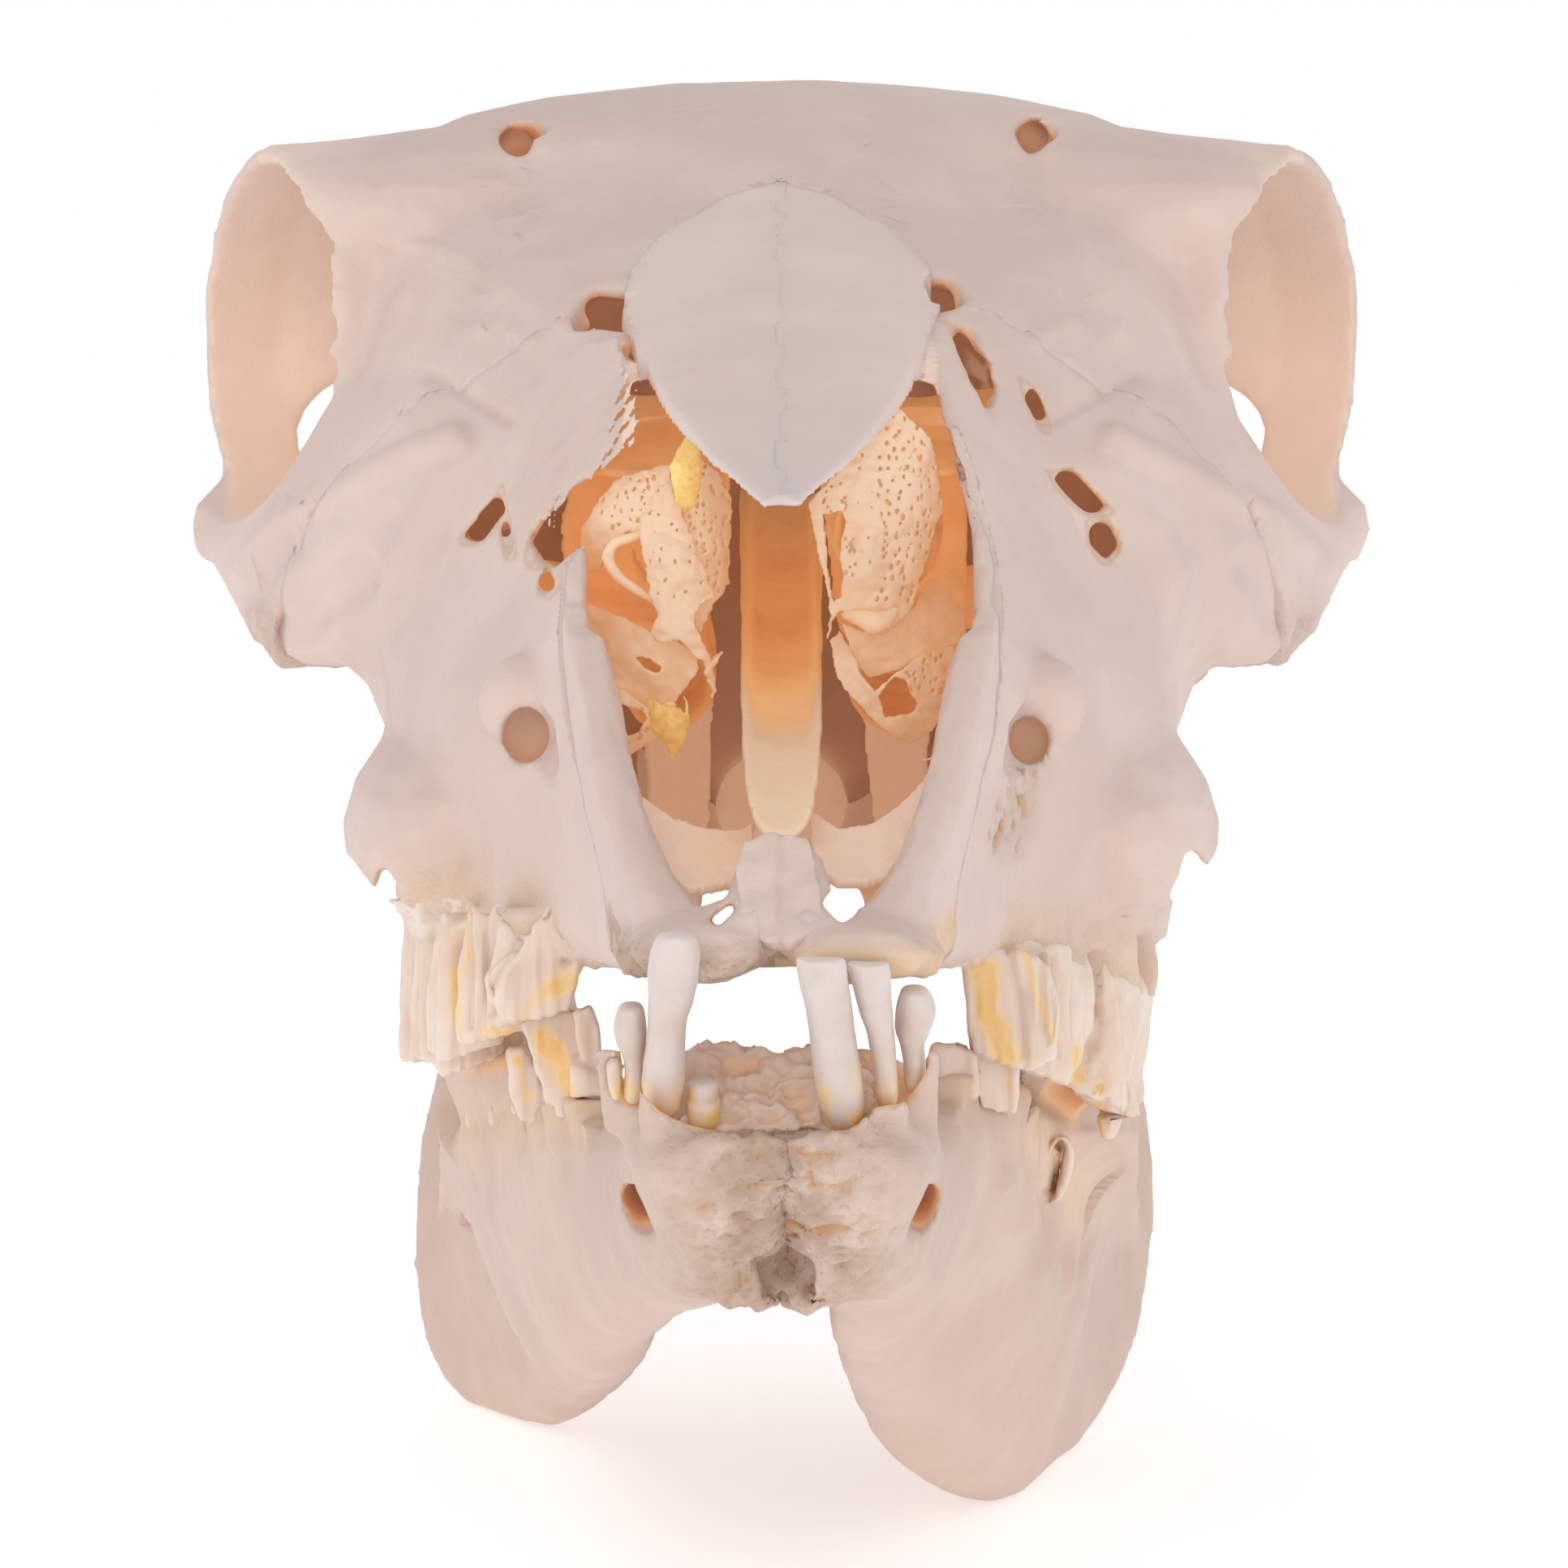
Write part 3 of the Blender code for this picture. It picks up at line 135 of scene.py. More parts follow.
def bone_copy(node, name):
    """A merged copy of a frame mesh, without its colours."""
    obj = linked(bpy.data.objects.new(name, NODES[node].data.copy()))
    obj.data.materials.clear()
    only(obj)
    bpy.ops.object.mode_set(mode="EDIT")
    bpy.ops.mesh.select_all(action="SELECT")
    bpy.ops.mesh.remove_doubles(threshold=1e-6)
    bpy.ops.object.mode_set(mode="OBJECT")
    return obj


def carve(obj, cutters, operation="DIFFERENCE"):
    """Cuts or joins closed shapes, all at once, and removes them."""
    group = bpy.data.collections.new("cutters")
    for cutter in cutters:
        group.objects.link(cutter)
    modifier = obj.modifiers.new("carve", "BOOLEAN")
    modifier.operation = operation
    modifier.solver = "MANIFOLD"
    modifier.operand_type = "COLLECTION"
    modifier.collection = group
    apply_all(obj)
    for cutter in cutters:
        bpy.data.objects.remove(cutter)
    bpy.data.collections.remove(group)


def fine_skin(obj, size, smooth=2):
    """An even skin with faces of this many millimetres, thinned where there are too many."""
    remesh = obj.modifiers.new("skin", "REMESH")
    remesh.mode = "VOXEL"
    remesh.voxel_size = size * MM * COARSE
    relax = obj.modifiers.new("relax", "SMOOTH")
    relax.iterations = smooth
    apply_all(obj)
    count = 2 * len(obj.data.polygons)
    if count > MOST_FACES:
        thin = obj.modifiers.new("thin", "DECIMATE")
        thin.ratio = MOST_FACES / count
        apply_all(obj)
    print(obj.name, "has", len(obj.data.polygons), "faces")


# %% [markdown]
# ## Cutters
# A prism is the simplest cutter: an outline drawn in one view and pushed through the bone. A bar
# follows a row of points with its own radius at each, as a root canal or a blood vessel's
# passage does. Small rough stones, each a twelve-sided ball knocked out of round, nibble edges.

# %% Prism, bar and stone
HALF_WIDTH = 60


def mesh_object(name, points, faces):
    mesh = bpy.data.meshes.new(name)
    mesh.from_pydata(points, [], faces)
    mesh.update()
    return bpy.data.objects.new(name, mesh)


def face_outwards(obj):
    only(obj)
    bpy.ops.object.mode_set(mode="EDIT")
    bpy.ops.mesh.select_all(action="SELECT")
    bpy.ops.mesh.normals_make_consistent(inside=False)
    bpy.ops.object.mode_set(mode="OBJECT")


def loose(obj):
    """Takes a closed shape out of the scene, ready to be used as a cutter."""
    bpy.context.scene.collection.objects.unlink(obj)
    return obj


def closed_shape(obj):
    face_outwards(linked(obj))
    return loose(obj)


def side_prism(outline):
    """A prism through the whole skull; its outline is (back, up) as seen from the side."""
    count = len(outline)
    points = [at(x, y, z) for x in (-HALF_WIDTH, HALF_WIDTH) for y, z in outline]
    faces = [tuple(range(count)), tuple(range(2 * count - 1, count - 1, -1))]
    faces += [(i, i + count, (i + 1) % count + count, (i + 1) % count) for i in range(count)]
    return closed_shape(mesh_object("prism", points, faces))


def smooth_rows(rows, steps):
    """Catmull-Rom rows between the given ones, as a numpy array."""
    rows = np.array(rows, float)
    ends = np.vstack([2 * rows[0] - rows[1], rows, 2 * rows[-1] - rows[-2]])
    made = []
    for i in range(1, len(ends) - 2):
        a, b, c, d = ends[i - 1:i + 3]
        for t in np.arange(steps) / steps:
            made.append(0.5 * (2 * b + (c - a) * t + (2 * a - 5 * b + 4 * c - d) * t**2
                               + (3 * b - a - 3 * c + d) * t**3))
    return np.array(made + [rows[-1]])


def skin(name, rings):
    """Joins rings of points, given in millimetres, into a skin with a cap at each end."""
    width = len(rings[0])
    points = [at(*p) for ring in rings for p in ring]
    faces = []
    for r in range(len(rings) - 1):
        for k in range(width):
            a, b = r * width + k, r * width + (k + 1) % width
            faces.append((a, b, b + width, a + width))
    faces += [tuple(range(width))[::-1], tuple(range(len(points) - width, len(points)))]
    return mesh_object(name, points, faces)


def bar(rows, flat=1.0, sides=14, steps=4):
    """A round bar through rows of (x, y, z, radius); flat makes it taller or lower than wide."""
    line = smooth_rows(rows, steps)
    ahead = np.gradient(line[:, :3], axis=0)
    turn = np.arange(sides) * 2 * np.pi / sides
    rings = []
    for here, way in zip(line, ahead):
        side = np.cross(way, (0, 0, 1))
        side /= np.linalg.norm(side)
        up = np.cross(side, way)
        up /= np.linalg.norm(up)
        ring = np.outer(np.cos(turn), side) + flat * np.outer(np.sin(turn), up)
        rings.append(here[:3] + here[3] * ring)
    first, last = rings[0].mean(axis=0), rings[-1].mean(axis=0)
    rings = [first + (rings[0] - first) * 0.5 - ahead[0] * 0.15] + rings
    rings += [last + (rings[-1] - last) * 0.5 + ahead[-1] * 0.15]
    return closed_shape(skin("bar", rings))


def apron(columns, rows, thick=12.0):
    """A closed wall of bone; rows of (picture height, depth) stand over the picture columns."""
    grid = np.array([[(u, v, y) for u, (v, y) in zip(columns, row)] for row in rows], float)
    flat = smooth_rows(grid.reshape(len(rows), -1), 5).reshape(-1, len(columns), 3)
    rings = []
    for i, row in enumerate(flat):
        line = smooth_rows(row, 4)
        wall = thick * (0.35 if i == 0 else 0.7 if i == 1 else 1.0)
        rings.append([seen(*p) for p in line] + [seen(u, v, y + wall) for u, v, y in line[::-1]])
    return closed_shape(skin("apron", rings))


def stone(place, radii, chance, lumps=0.25):
    """A rough little stone for nibbling; chance is its own random source."""
    bpy.ops.object.select_all(action="DESELECT")
    bpy.ops.mesh.primitive_ico_sphere_add(subdivisions=1, radius=1)
    obj = bpy.context.object
    angle = chance.uniform(0, 6.3)
    turn = Matrix.Rotation(angle, 3, Vector((chance.gauss(0, 1), chance.gauss(0, 1), 1)))
    for vert in obj.data.vertices:
        p = turn @ (vert.co * chance.uniform(1 - lumps, 1 + lumps))
        vert.co = at(*(Vector(place) + Vector([a * b for a, b in zip(p, radii)])))
    return loose(obj)


# %% [markdown]
# ## Working on the skin's points
# Pores, pits, growth lines and broken edges are smaller than any face of a hand-made mesh, so
# they are pressed into the fine skin by moving its points. The helpers read all points at once
# as millimetres, work on them as one table of numbers and write them back.

# %% Points, clouds and pits
FLOOR_GAP = 0.02


def read_points(obj):
    flat = np.empty(len(obj.data.vertices) * 3, np.float32)
    obj.data.vertices.foreach_get("co", flat)
    return (flat.reshape(-1, 3).astype(float) - np.array([0, BACK, 0])) / MM


def write_points(obj, points):
    """Writes millimetres back; nothing may reach below the floor."""
    points[:, 2] = np.maximum(points[:, 2], FLOOR_GAP)
    flat = (points * MM + np.array([0, BACK, 0])).astype(np.float32).ravel()
    obj.data.vertices.foreach_set("co", flat)
    obj.data.update()


def read_normals(obj):
    flat = np.empty(len(obj.data.vertices) * 3, np.float32)
    obj.data.vertices.foreach_get("normal", flat)
    return flat.reshape(-1, 3).astype(float)


def cloud(points, size, seed=0):
    """Smooth noise from -1 to 1 with lumps of about this size."""
    p = points / size + seed * 17.3 + 1000.0
    cell = np.floor(p).astype(np.int64)
    f = p - cell
    f = f * f * (3 - 2 * f)
    total = np.zeros(len(p))
    for dx in (0, 1):
        for dy in (0, 1):
            for dz in (0, 1):
                n = (cell[:, 0] + dx) * 73856093 ^ (cell[:, 1] + dy) * 19349663
                n = n ^ (cell[:, 2] + dz) * 83492791
                n = (n * (n * 15731 + 789221) + 1376312589) & 0x7FFFFFFF
                value = 1.0 - n / 2**30
                value *= np.abs(1 - dx - f[:, 0]) * np.abs(1 - dy - f[:, 1])
                total += value * np.abs(1 - dz - f[:, 2])
    return total


def near(points, place, radii):
    """1 at a place, falling smoothly to 0 at its radii."""
    d = (((points - np.array(place, float)) / np.array(radii, float)) ** 2).sum(axis=1)
    return np.clip(1 - d, 0, 1) ** 2


def near_line(points, rows, radius):
    """1 on a smooth line through the rows, falling to 0 at the radius."""
    line = smooth_rows(rows, 6)
    best = np.full(len(points), 1e9)
    for a, b in zip(line[:-1], line[1:]):
        way = b - a
        t = np.clip(((points - a) @ way) / max(way @ way, 1e-9), 0, 1)
        best = np.minimum(best, ((points - a - np.outer(t, way)) ** 2).sum(axis=1))
    return np.clip(1 - best / radius**2, 0, 1) ** 2


def raised(points, normals, height):
    """Points moved outwards by a height each, or inwards where it is below zero."""
    return points + normals * height[:, None]


def close_seams(obj, neighbours, reach):
    """Draws the points beside another bone to the middle of the gap, so a seam is a hairline."""
    soup = bmesh.new()
    for node in neighbours:
        soup.from_mesh(NODES[node].data)
    tree = BVHTree.FromBMesh(soup)
    soup.free()
    beside = np.zeros(len(obj.data.vertices))
    for vert in obj.data.vertices:
        place, _, _, gap = tree.find_nearest(vert.co, reach * MM)
        if place is not None:
            share = min(1.0, (reach - gap / MM) / (reach * 0.45))
            gap_way = place - vert.co
            vert.co += gap_way * share + gap_way.normalized() * 0.35 * MM * share
            beside[vert.index] = share
    obj.data.update()
    return beside


# %% [markdown]
# ## How deep a point lies in the skull
# The bone's colour carries a painted shade: palest outside, it turns peach and then orange-brown in
# its hollows, where less light reaches. So each point needs to know how enclosed it is. Rays are sent
# out from it all round its normal, and the share that soon meets bone again is kept as an attribute,
# which the bone's colour reads later as painted shade.

# %% Rays and attributes
soup = bmesh.new()
for node in NODES.values():
    soup.from_mesh(node.data)
ALL_BONE = BVHTree.FromBMesh(soup)
soup.free()
RAY_REACH = 30 * MM
RAY_RINGS = ((0.0, 1, 2.0), (0.62, 5, 1.0), (1.15, 5, 0.6))


def enclosed(obj):
    """Share of the rays that meet bone, by how near; ray rings are (tilt, count, weight)."""
    normals = read_normals(obj)
    places = [v.co.copy() for v in obj.data.vertices]
    found = np.zeros(len(places))
    total = sum(count * weight for _, count, weight in RAY_RINGS)
    for i, (place, normal) in enumerate(zip(places, normals)):
        n = Vector(normal)
        side = n.orthogonal().normalized()
        other = n.cross(side)
        start = place + n * 0.9 * MM
        blocked = 0.0
        for tilt, count, weight in RAY_RINGS:
            for k in range(count):
                turn = 2 * math.pi * k / count + i
                around = side * math.cos(turn) + other * math.sin(turn)
                way = n * math.cos(tilt) + around * math.sin(tilt)
                _, _, _, distance = ALL_BONE.ray_cast(start, way, RAY_REACH)
                if distance is not None:
                    blocked += weight * (1 - 0.6 * distance / RAY_REACH)
        found[i] = blocked / total
    # The share becomes the painted shade of the hollows.
    return spread(obj, found, 6)


def spread(obj, values, times):
    """Averages a value with its neighbours' along the edges."""
    count = len(obj.data.edges) * 2
    ends = np.empty(count, np.int32)
    obj.data.edges.foreach_get("vertices", ends)
    a, b = ends[0::2], ends[1::2]
    links = np.maximum(np.bincount(ends, minlength=len(values)), 1)
    for _ in range(times):
        sums = np.bincount(a, values[b], len(values)) + np.bincount(b, values[a], len(values))
        values = 0.4 * values + 0.6 * sums / links
    return values


def keep(obj, name, values):
    """Stores a number from 0 to 1 at every point, or one for all, which the finishes read."""
    attribute = obj.data.attributes.get(name) or obj.data.attributes.new(name, "FLOAT", "POINT")
    values = np.zeros(len(obj.data.vertices)) + values
    attribute.data.foreach_set("value", np.clip(values, 0, 1).astype(np.float32))


print("rays are sent", RAY_REACH / MM, "mm far")


# %% [markdown]
# ## Working from the picture
# Slits, blood vessels' holes and porous patches are easiest to place where the picture shows
# them. A picture point is sent as a ray from the camera to the bone it meets; a picture outline
# can be pushed through the bone as a cutter; and a mask in the picture only marks the points that
# the camera sees. Rays and outlines end as real shape on the bone; a mask presses in pits, or paints
# shade or a glow.

# %% Picture tools
EYE = at(0, CAMERA_Y, CAMERA_Z)


def pictured(points):
    """Picture coordinates of points in millimetres."""
    far, down = points[:, 1] - CAMERA_Y, CAMERA_Z - points[:, 2]
    depth = far * COS + down * SIN
    u = MIDDLE - SHIFT + FOCAL * points[:, 0] / depth
    return np.column_stack([u, MIDDLE - FOCAL * (far * SIN - down * COS) / depth])


def flat_picture(points):
    """Picture coordinates with a third column of zeros."""
    return np.column_stack([pictured(points), np.zeros(len(points))])


def drawn(flat, rows, radius):
    """1 on a smooth line through picture points, falling to 0 at the radius."""
    return near_line(flat, [(u, v, 0) for u, v in rows], radius)


def on_bone(u, v):
    """Millimetres of the first bone behind a picture point, or None."""
    way = (at(*seen(u, v, 0)) - EYE).normalized()
    place, _, _, _ = ALL_BONE.ray_cast(EYE + way * 0.35, way)
    if place is None:
        return None
    return (place.x / MM, (place.y - BACK) / MM, place.z / MM)


def torn_outline(outline, ragged, seed, every=7):
    """The outline with a point at about every so many picture points, each moved by chance."""
    chance = random.Random(seed)
    torn = []
    for (u0, v0), (u1, v1) in zip(outline, outline[1:] + outline[:1]):
        steps = max(1, int(math.hypot(u1 - u0, v1 - v0) / every)) if ragged else 1
        for k in range(steps):
            t = k / steps
            torn.append((u0 + (u1 - u0) * t + chance.uniform(-1, 1) * ragged,
                         v0 + (v1 - v0) * t + chance.uniform(-1, 1) * ragged))
    return torn


def view_prism(outline, near_y, far_y, ragged=0.0, seed=0):
    """A cutter: a picture outline pushed back from near_y to far_y, its edge torn if wanted."""
    torn = torn_outline(outline, ragged, seed)
    depths = (near_y, (near_y + far_y) / 2, far_y)
    return closed_shape(skin("view_prism", [[seen(u, v, y) for u, v in torn] for y in depths]))


def round_hole(u, v, wide, tall, near_y, far_y, sides=20):
    turn = [2 * math.pi * k / sides for k in range(sides)]
    ring = [(u + wide / 2 * math.cos(a), v + tall / 2 * math.sin(a)) for a in turn]
    return view_prism(ring, near_y, far_y)


def plug(u, v, size):
    """Fills an old hole up to the surface of the bone round it."""
    hits = [on_bone(u + du, v + dv) for du, dv in ((-60, 0), (60, 0), (0, -60), (0, 60))]
    x, y, z = np.mean([h for h in hits if h], axis=0)
    bpy.ops.object.select_all(action="DESELECT")
    bpy.ops.mesh.primitive_uv_sphere_add(segments=24, ring_count=12, radius=1)
    obj = bpy.context.object
    for vert in obj.data.vertices:
        vert.co = at(x + vert.co.x * size, y + (vert.co.y + 0.97) * size, z + vert.co.z * size)
    return loose(obj)


def fitted_plate(outline, anchors, thick, ragged, seed):
    """A plate with a picture outline that lies level with the bone at its anchors."""
    hits = np.array([(u, v, on_bone(u, v)[1]) for u, v in anchors])
    known = np.column_stack([hits[:, :2], np.ones(len(hits))])
    fit = np.linalg.lstsq(known, hits[:, 2], rcond=None)[0]
    torn = torn_outline(outline, ragged, seed, 6)
    rings = [[seen(u, v, u * fit[0] + v * fit[1] + fit[2] + back) for u, v in torn]
             for back in (0.05, thick / 2, thick)]
    return closed_shape(skin("plate", rings))


def marked(points, normals, rows, radius):
    """1 along rows of picture points, on the skin that the camera sees."""
    mask = drawn(flat_picture(points), rows, radius)
    mask *= np.clip((normals[:, 2] * SIN - normals[:, 1] * COS) * 3, 0, 1)
    for i in np.flatnonzero(mask):
        start = at(*(points[i] + normals[i] * 1.2))
        if ALL_BONE.ray_cast(start, (EYE - start).normalized())[0] is not None:
            mask[i] = 0
    return mask


print("the chin's front, seen in the picture, is at", on_bone(930, 1500))

# %% [markdown]
# ## Shader maths as expressions
# A bone's finish is many masks multiplied and mixed. Written as separate nodes that is hard to
# read, so a small class wraps a socket, and adding or multiplying two of them adds the node.

# %% Expressions on sockets
class Value:
    """A socket of a node tree that can be used in an expression."""

    def __init__(self, tree, socket):
        self.tree = tree
        self.socket = socket

    def __add__(self, other):
        return self.tree.math("ADD", self, other)

    def __sub__(self, other):
        return self.tree.math("SUBTRACT", self, other)

    def __mul__(self, other):
        return self.tree.math("MULTIPLY", self, other)

    def __rsub__(self, other):
        return self.tree.math("SUBTRACT", other, self)

    __radd__ = __add__
    __rmul__ = __mul__


class Finish:
    """A material and its nodes."""

    def __init__(self, name, roughness, **constants):
        self.material = bpy.data.materials.new(name)
        self.material.use_nodes = True
        self.material.cycles.emission_sampling = "NONE"
        self.nodes = self.material.node_tree.nodes
        self.links = self.material.node_tree.links
        self.shader = self.nodes["Principled BSDF"]
        self.shader.inputs["Roughness"].default_value = roughness
        for socket, value in constants.items():
            self.shader.inputs[socket.replace("_", " ")].default_value = value

    def put(self, socket, value):
        """Links a value to a socket, or sets a plain number or colour on it."""
        if isinstance(value, Value):
            self.links.new(value.socket, socket)
        else:
            socket.default_value = value

    def node(self, kind, settings=None, sockets=None, out=0):
        """Adds a node: its settings first, then the values or links of its sockets."""
        made = self.nodes.new(kind)
        for name, value in (settings or {}).items():
            setattr(made, name, value)
        for name, value in (sockets or {}).items():
            self.put(made.inputs[name], value)
        return Value(self, made.outputs[out])

    def place(self):
        return self.node("ShaderNodeTexCoord", out="Object")

    def math(self, operation, a, b=0.0):
        return self.node("ShaderNodeMath", {"operation": operation}, {0: a, 1: b})

    def noise(self, scale, detail, roughness):
        sockets = {"Vector": self.place(), "Scale": scale, "Detail": detail, "Roughness": roughness}
        return self.node("ShaderNodeTexNoise", {}, sockets)

    def cells(self, scale):
        return self.node("ShaderNodeTexVoronoi", {}, {"Vector": self.place(), "Scale": scale})

    def step(self, value, low, high):
        """0 below low, 1 above high, smooth between."""
        return self.node("ShaderNodeMapRange", {"interpolation_type": "SMOOTHSTEP"},
                         {"Value": value, "From Min": low, "From Max": high})

    def attribute(self, name):
        return self.node("ShaderNodeAttribute", {"attribute_name": name}, {}, out="Fac")

    def mix(self, share, a, b):
        made = self.nodes.new("ShaderNodeMix")
        made.data_type = "RGBA"
        self.put(made.inputs["Factor"], share)
        self.put(made.inputs[6], a)
        self.put(made.inputs[7], b)
        return Value(self, made.outputs[2])

    def wear(self, colour, roughness=None, height=None, depth=0.0004, strength=1.0, glow=None):
        """Links what varies; glow is the colour of an emission, a painted light for light through thin bone.
        """
        self.put(self.shader.inputs["Base Color"], colour)
        if glow is not None:
            self.put(self.shader.inputs["Emission Color"], glow)
        if roughness is not None:
            self.put(self.shader.inputs["Roughness"], roughness)
        if height is not None:
            sockets = {"Height": height, "Distance": depth, "Strength": strength}
            self.put(self.shader.inputs["Normal"], self.node("ShaderNodeBump", {}, sockets))
        return self.material


def shade(red, green, blue):
    """A colour as seen on a screen, 0 to 255, in the linear numbers that shaders use."""
    linear = []
    for part in (red / 255, green / 255, blue / 255):
        linear.append(part / 12.92 if part <= 0.04045 else ((part + 0.055) / 1.055) ** 2.4)
    return tuple(linear) + (1.0,)


# %% [markdown]
# ## The bone's finish
# Dry bone is a warm, pinkish cream with faint clouds in it. A painted shade darkens it through peach
# to amber in hollows. It is greyer and more porous at the chin, bluish white at the thin tips of the
# nasal bones and stained yellow beside the teeth; a painted shade makes it brown in its pits, slits
# and grooves. The attributes deep, porous, cool, stain and mark carry where each of these is. A little
# light passes into bone, which softens every edge. A painted glow, an emission, stands for the light
# that thin walls let through: the hollows, and what the attribute lit marks, glow faintly.

# %% Bone
def bone_finish(name, outer, pale, hollow, deepest, through, warm=(226, 192, 158)):
    """A bone's look from four colours, palest outside, the last two painted shade; through is the painted
    glow's strength.
    """
    outer, pale, hollow, deepest = [shade(*colour) for colour in (outer, pale, hollow, deepest)]
    finish = Finish(name, 0.52, Subsurface_Weight=0.18, Subsurface_Scale=0.004,
                    Specular_IOR_Level=0.42)
    finish.shader.inputs["Subsurface Radius"].default_value = (1.0, 0.62, 0.42)
    deep, stain, porous = [finish.attribute(name) for name in ("deep", "stain", "porous")]
    cool, lit, mark = [finish.attribute(name) for name in ("cool", "lit", "mark")]
    clouds = finish.noise(55, 4, 0.6)
    grain = finish.noise(900, 3, 0.6)
    mottle = finish.noise(210, 4, 0.62)
    colour = finish.mix(finish.step(clouds, 0.35, 0.7), outer, pale)
    colour = finish.mix(finish.step(mottle, 0.5, 0.78) * 0.3, colour, outer)
    colour = finish.mix(cool, colour, shade(214, 199, 194))
    colour = finish.mix(porous * finish.step(mottle, 0.3, 0.6) * 0.9, colour, shade(176, 150, 131))
    # Painted shade: the colour turns to hollow and then deepest where the point is enclosed.
    rim = deep + (mottle - 0.5) * 0.16
    colour = finish.mix(finish.step(rim, 0.3, 0.62), colour, hollow)
    colour = finish.mix(finish.step(rim, 0.62, 0.9), colour, deepest)
    # Painted shade, brown, in pits, slits, grooves and the band between the teeth, where mark is set.
    colour = finish.mix(finish.step(mark, 0.1, 0.7) * 0.75, colour, shade(204, 160, 118))
    colour = finish.mix(finish.step(mark, 0.5, 0.95) * 0.8, colour, shade(168, 106, 60))
    colour = finish.mix(stain * finish.step(mottle + clouds, 0.6, 1.1), colour, shade(233, 190, 118))
    holes = finish.step(finish.cells(1500), 0.1, 0.42)
    height = grain * 0.35 + mottle * 0.3 + holes * (0.15 + porous)
    # Painted light: an emission glows in the hollows and where lit is set, but not on the marks.
    glow_in_hollows = finish.step(rim, 0.26, 0.76) * (0.6 - 0.45 * finish.step(rim, 0.8, 1.0))
    share = finish.math("MAXIMUM", glow_in_hollows, lit) * (1 - finish.step(mark, 0.05, 0.4))
    glow = finish.mix(share, (0, 0, 0, 1), shade(*warm))
    finish.shader.inputs["Emission Strength"].default_value = through
    return finish.wear(colour, 0.5 + grain * 0.16 + porous * 0.1, height, 0.00026, 0.5, glow)


BONE = bone_finish("bone", (213, 191, 181), (221, 200, 190), (224, 188, 158), (206, 140, 78), 0.34)
# Painted light: a lighter copy of bone, so the nasal bones, which tilt up away from the front light, read
# brighter.
NASAL_BONE_LIT = bone_finish("nasal_bone", (221, 201, 193), (227, 208, 200), (226, 192, 164),
                         (208, 146, 86), 0.3)
# Painted shade: a darker copy of bone for the lower jaw, as the light falls off towards the bottom.
JAW_BONE_SHADED = bone_finish("jaw_bone_painted_shade", (204, 179, 166), (213, 190, 177), (222, 184, 150), (206, 136, 70),
                       0.3)
# Inside the nose: a lighter, warmer copy of bone with a stronger, more orange painted glow.
INNER_GLOWING = bone_finish("inner_bone", (236, 210, 182), (240, 219, 194), (228, 184, 134), (206, 142, 80),
                    0.5, (236, 178, 116))
print("finishes made:", ", ".join(m.name for m in (BONE, NASAL_BONE_LIT, JAW_BONE_SHADED, INNER_GLOWING)))

# %% [markdown]
# ## Making one bone
# Every bone goes through the same steps: copy, fill, cut, skin, measure how enclosed each point is
# for its painted shade, press in its details, close its seams to hairlines, and give it its finish.
# Only the details differ, so they come as a function that gets the points and normals in millimetres.

# %% One bone
# The last mask says where the painted shade is lessened; it is not stored.
MASKS = ("stain", "porous", "cool", "mark", "lit", "less_shade")
SIDES = ("left", "right")
OTHER = {"left": "right", "right": "left"}


def bone(node, size, beside=(), cutters=(), fillers=(), late=(), last=(), detail=None, smooth=2,
         finish=BONE):
    """One bone from its frame mesh: fillers are joined, cutters cut, late joined and last cut."""
    obj = bone_copy(node, node + "_bone")
    steps = ((fillers, "UNION"), (cutters, "DIFFERENCE"), (late, "UNION"), (last, "DIFFERENCE"))
    for shapes, operation in steps:
        if shapes:
            carve(obj, list(shapes), operation)
    fine_skin(obj, size, smooth)
    deep = enclosed(obj)
    points, normals = read_points(obj), read_normals(obj)
    lumps = 0.16 * cloud(points, 8.0, 1) + 0.06 * cloud(points, 3.0, 2) + 0.025 * cloud(points, 1.3, 3)
    points = raised(points, normals, lumps)
    masks = dict.fromkeys(MASKS, 0.0)
    if detail:
        points, found = detail(points, normals)
        masks.update(found)
    write_points(obj, points)
    seam = np.zeros(len(points))
    if beside:
        seam = close_seams(obj, beside, 2.4 if "mandible" in node else 1.5)
    # Painted shade is taken away along the seams and where the details ask for less of it.
    deep *= (1 - 0.9 * spread(obj, seam, 4)) * (1 - 0.85 * np.clip(masks.pop("less_shade"), 0, 1))
    for name, values in masks.items():
        keep(obj, name, values)
    keep(obj, "deep", deep)
    return finished(obj, node, finish)


def finished(obj, node, finish):
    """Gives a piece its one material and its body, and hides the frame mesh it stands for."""
    obj.data.materials.clear()
    obj.data.materials.append(finish)
    for face in obj.data.polygons:
        face.material_index = 0
    obj.data.shade_smooth()
    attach(obj, "root")
    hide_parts(node)
    return obj


print("a bone keeps", ", ".join(MASKS[:-1]), "and deep")

# %% [markdown]
# ## The cranium
# The forehead, both eye sockets, the cheek bones and the brain case are one bone here. Its sharp
# front socket rims are broken into small teeth, a groove leads down from each blood vessel's hole
# over the brow, and a faint seam runs down the forehead. Ridges and hollows are rows of picture
# points, each with a radius and a height.

# %% Cranium
SOCKET_RIM = ((39.0, 110, 130.6), (41.8, 107.6, 128.6), (43.6, 107.6, 125), (43.8, 108.2, 120),
              (44.6, 109.4, 115.6), (42.6, 110, 112.4), (43.5, 112, 108))
BROW_VESSEL = ([(612, 168), (628, 156), (646, 160), (660, 176), (652, 190), (634, 196), (616, 186)],
               [(1248, 165), (1262, 148), (1284, 150), (1296, 168), (1284, 188), (1262, 192)],
               [(646, 196), (668, 184), (672, 190), (652, 203)])


def both_sides(rows):
    return [[(side * row[0],) + tuple(row[1:]) for row in rows] for side in (-1, 1)]


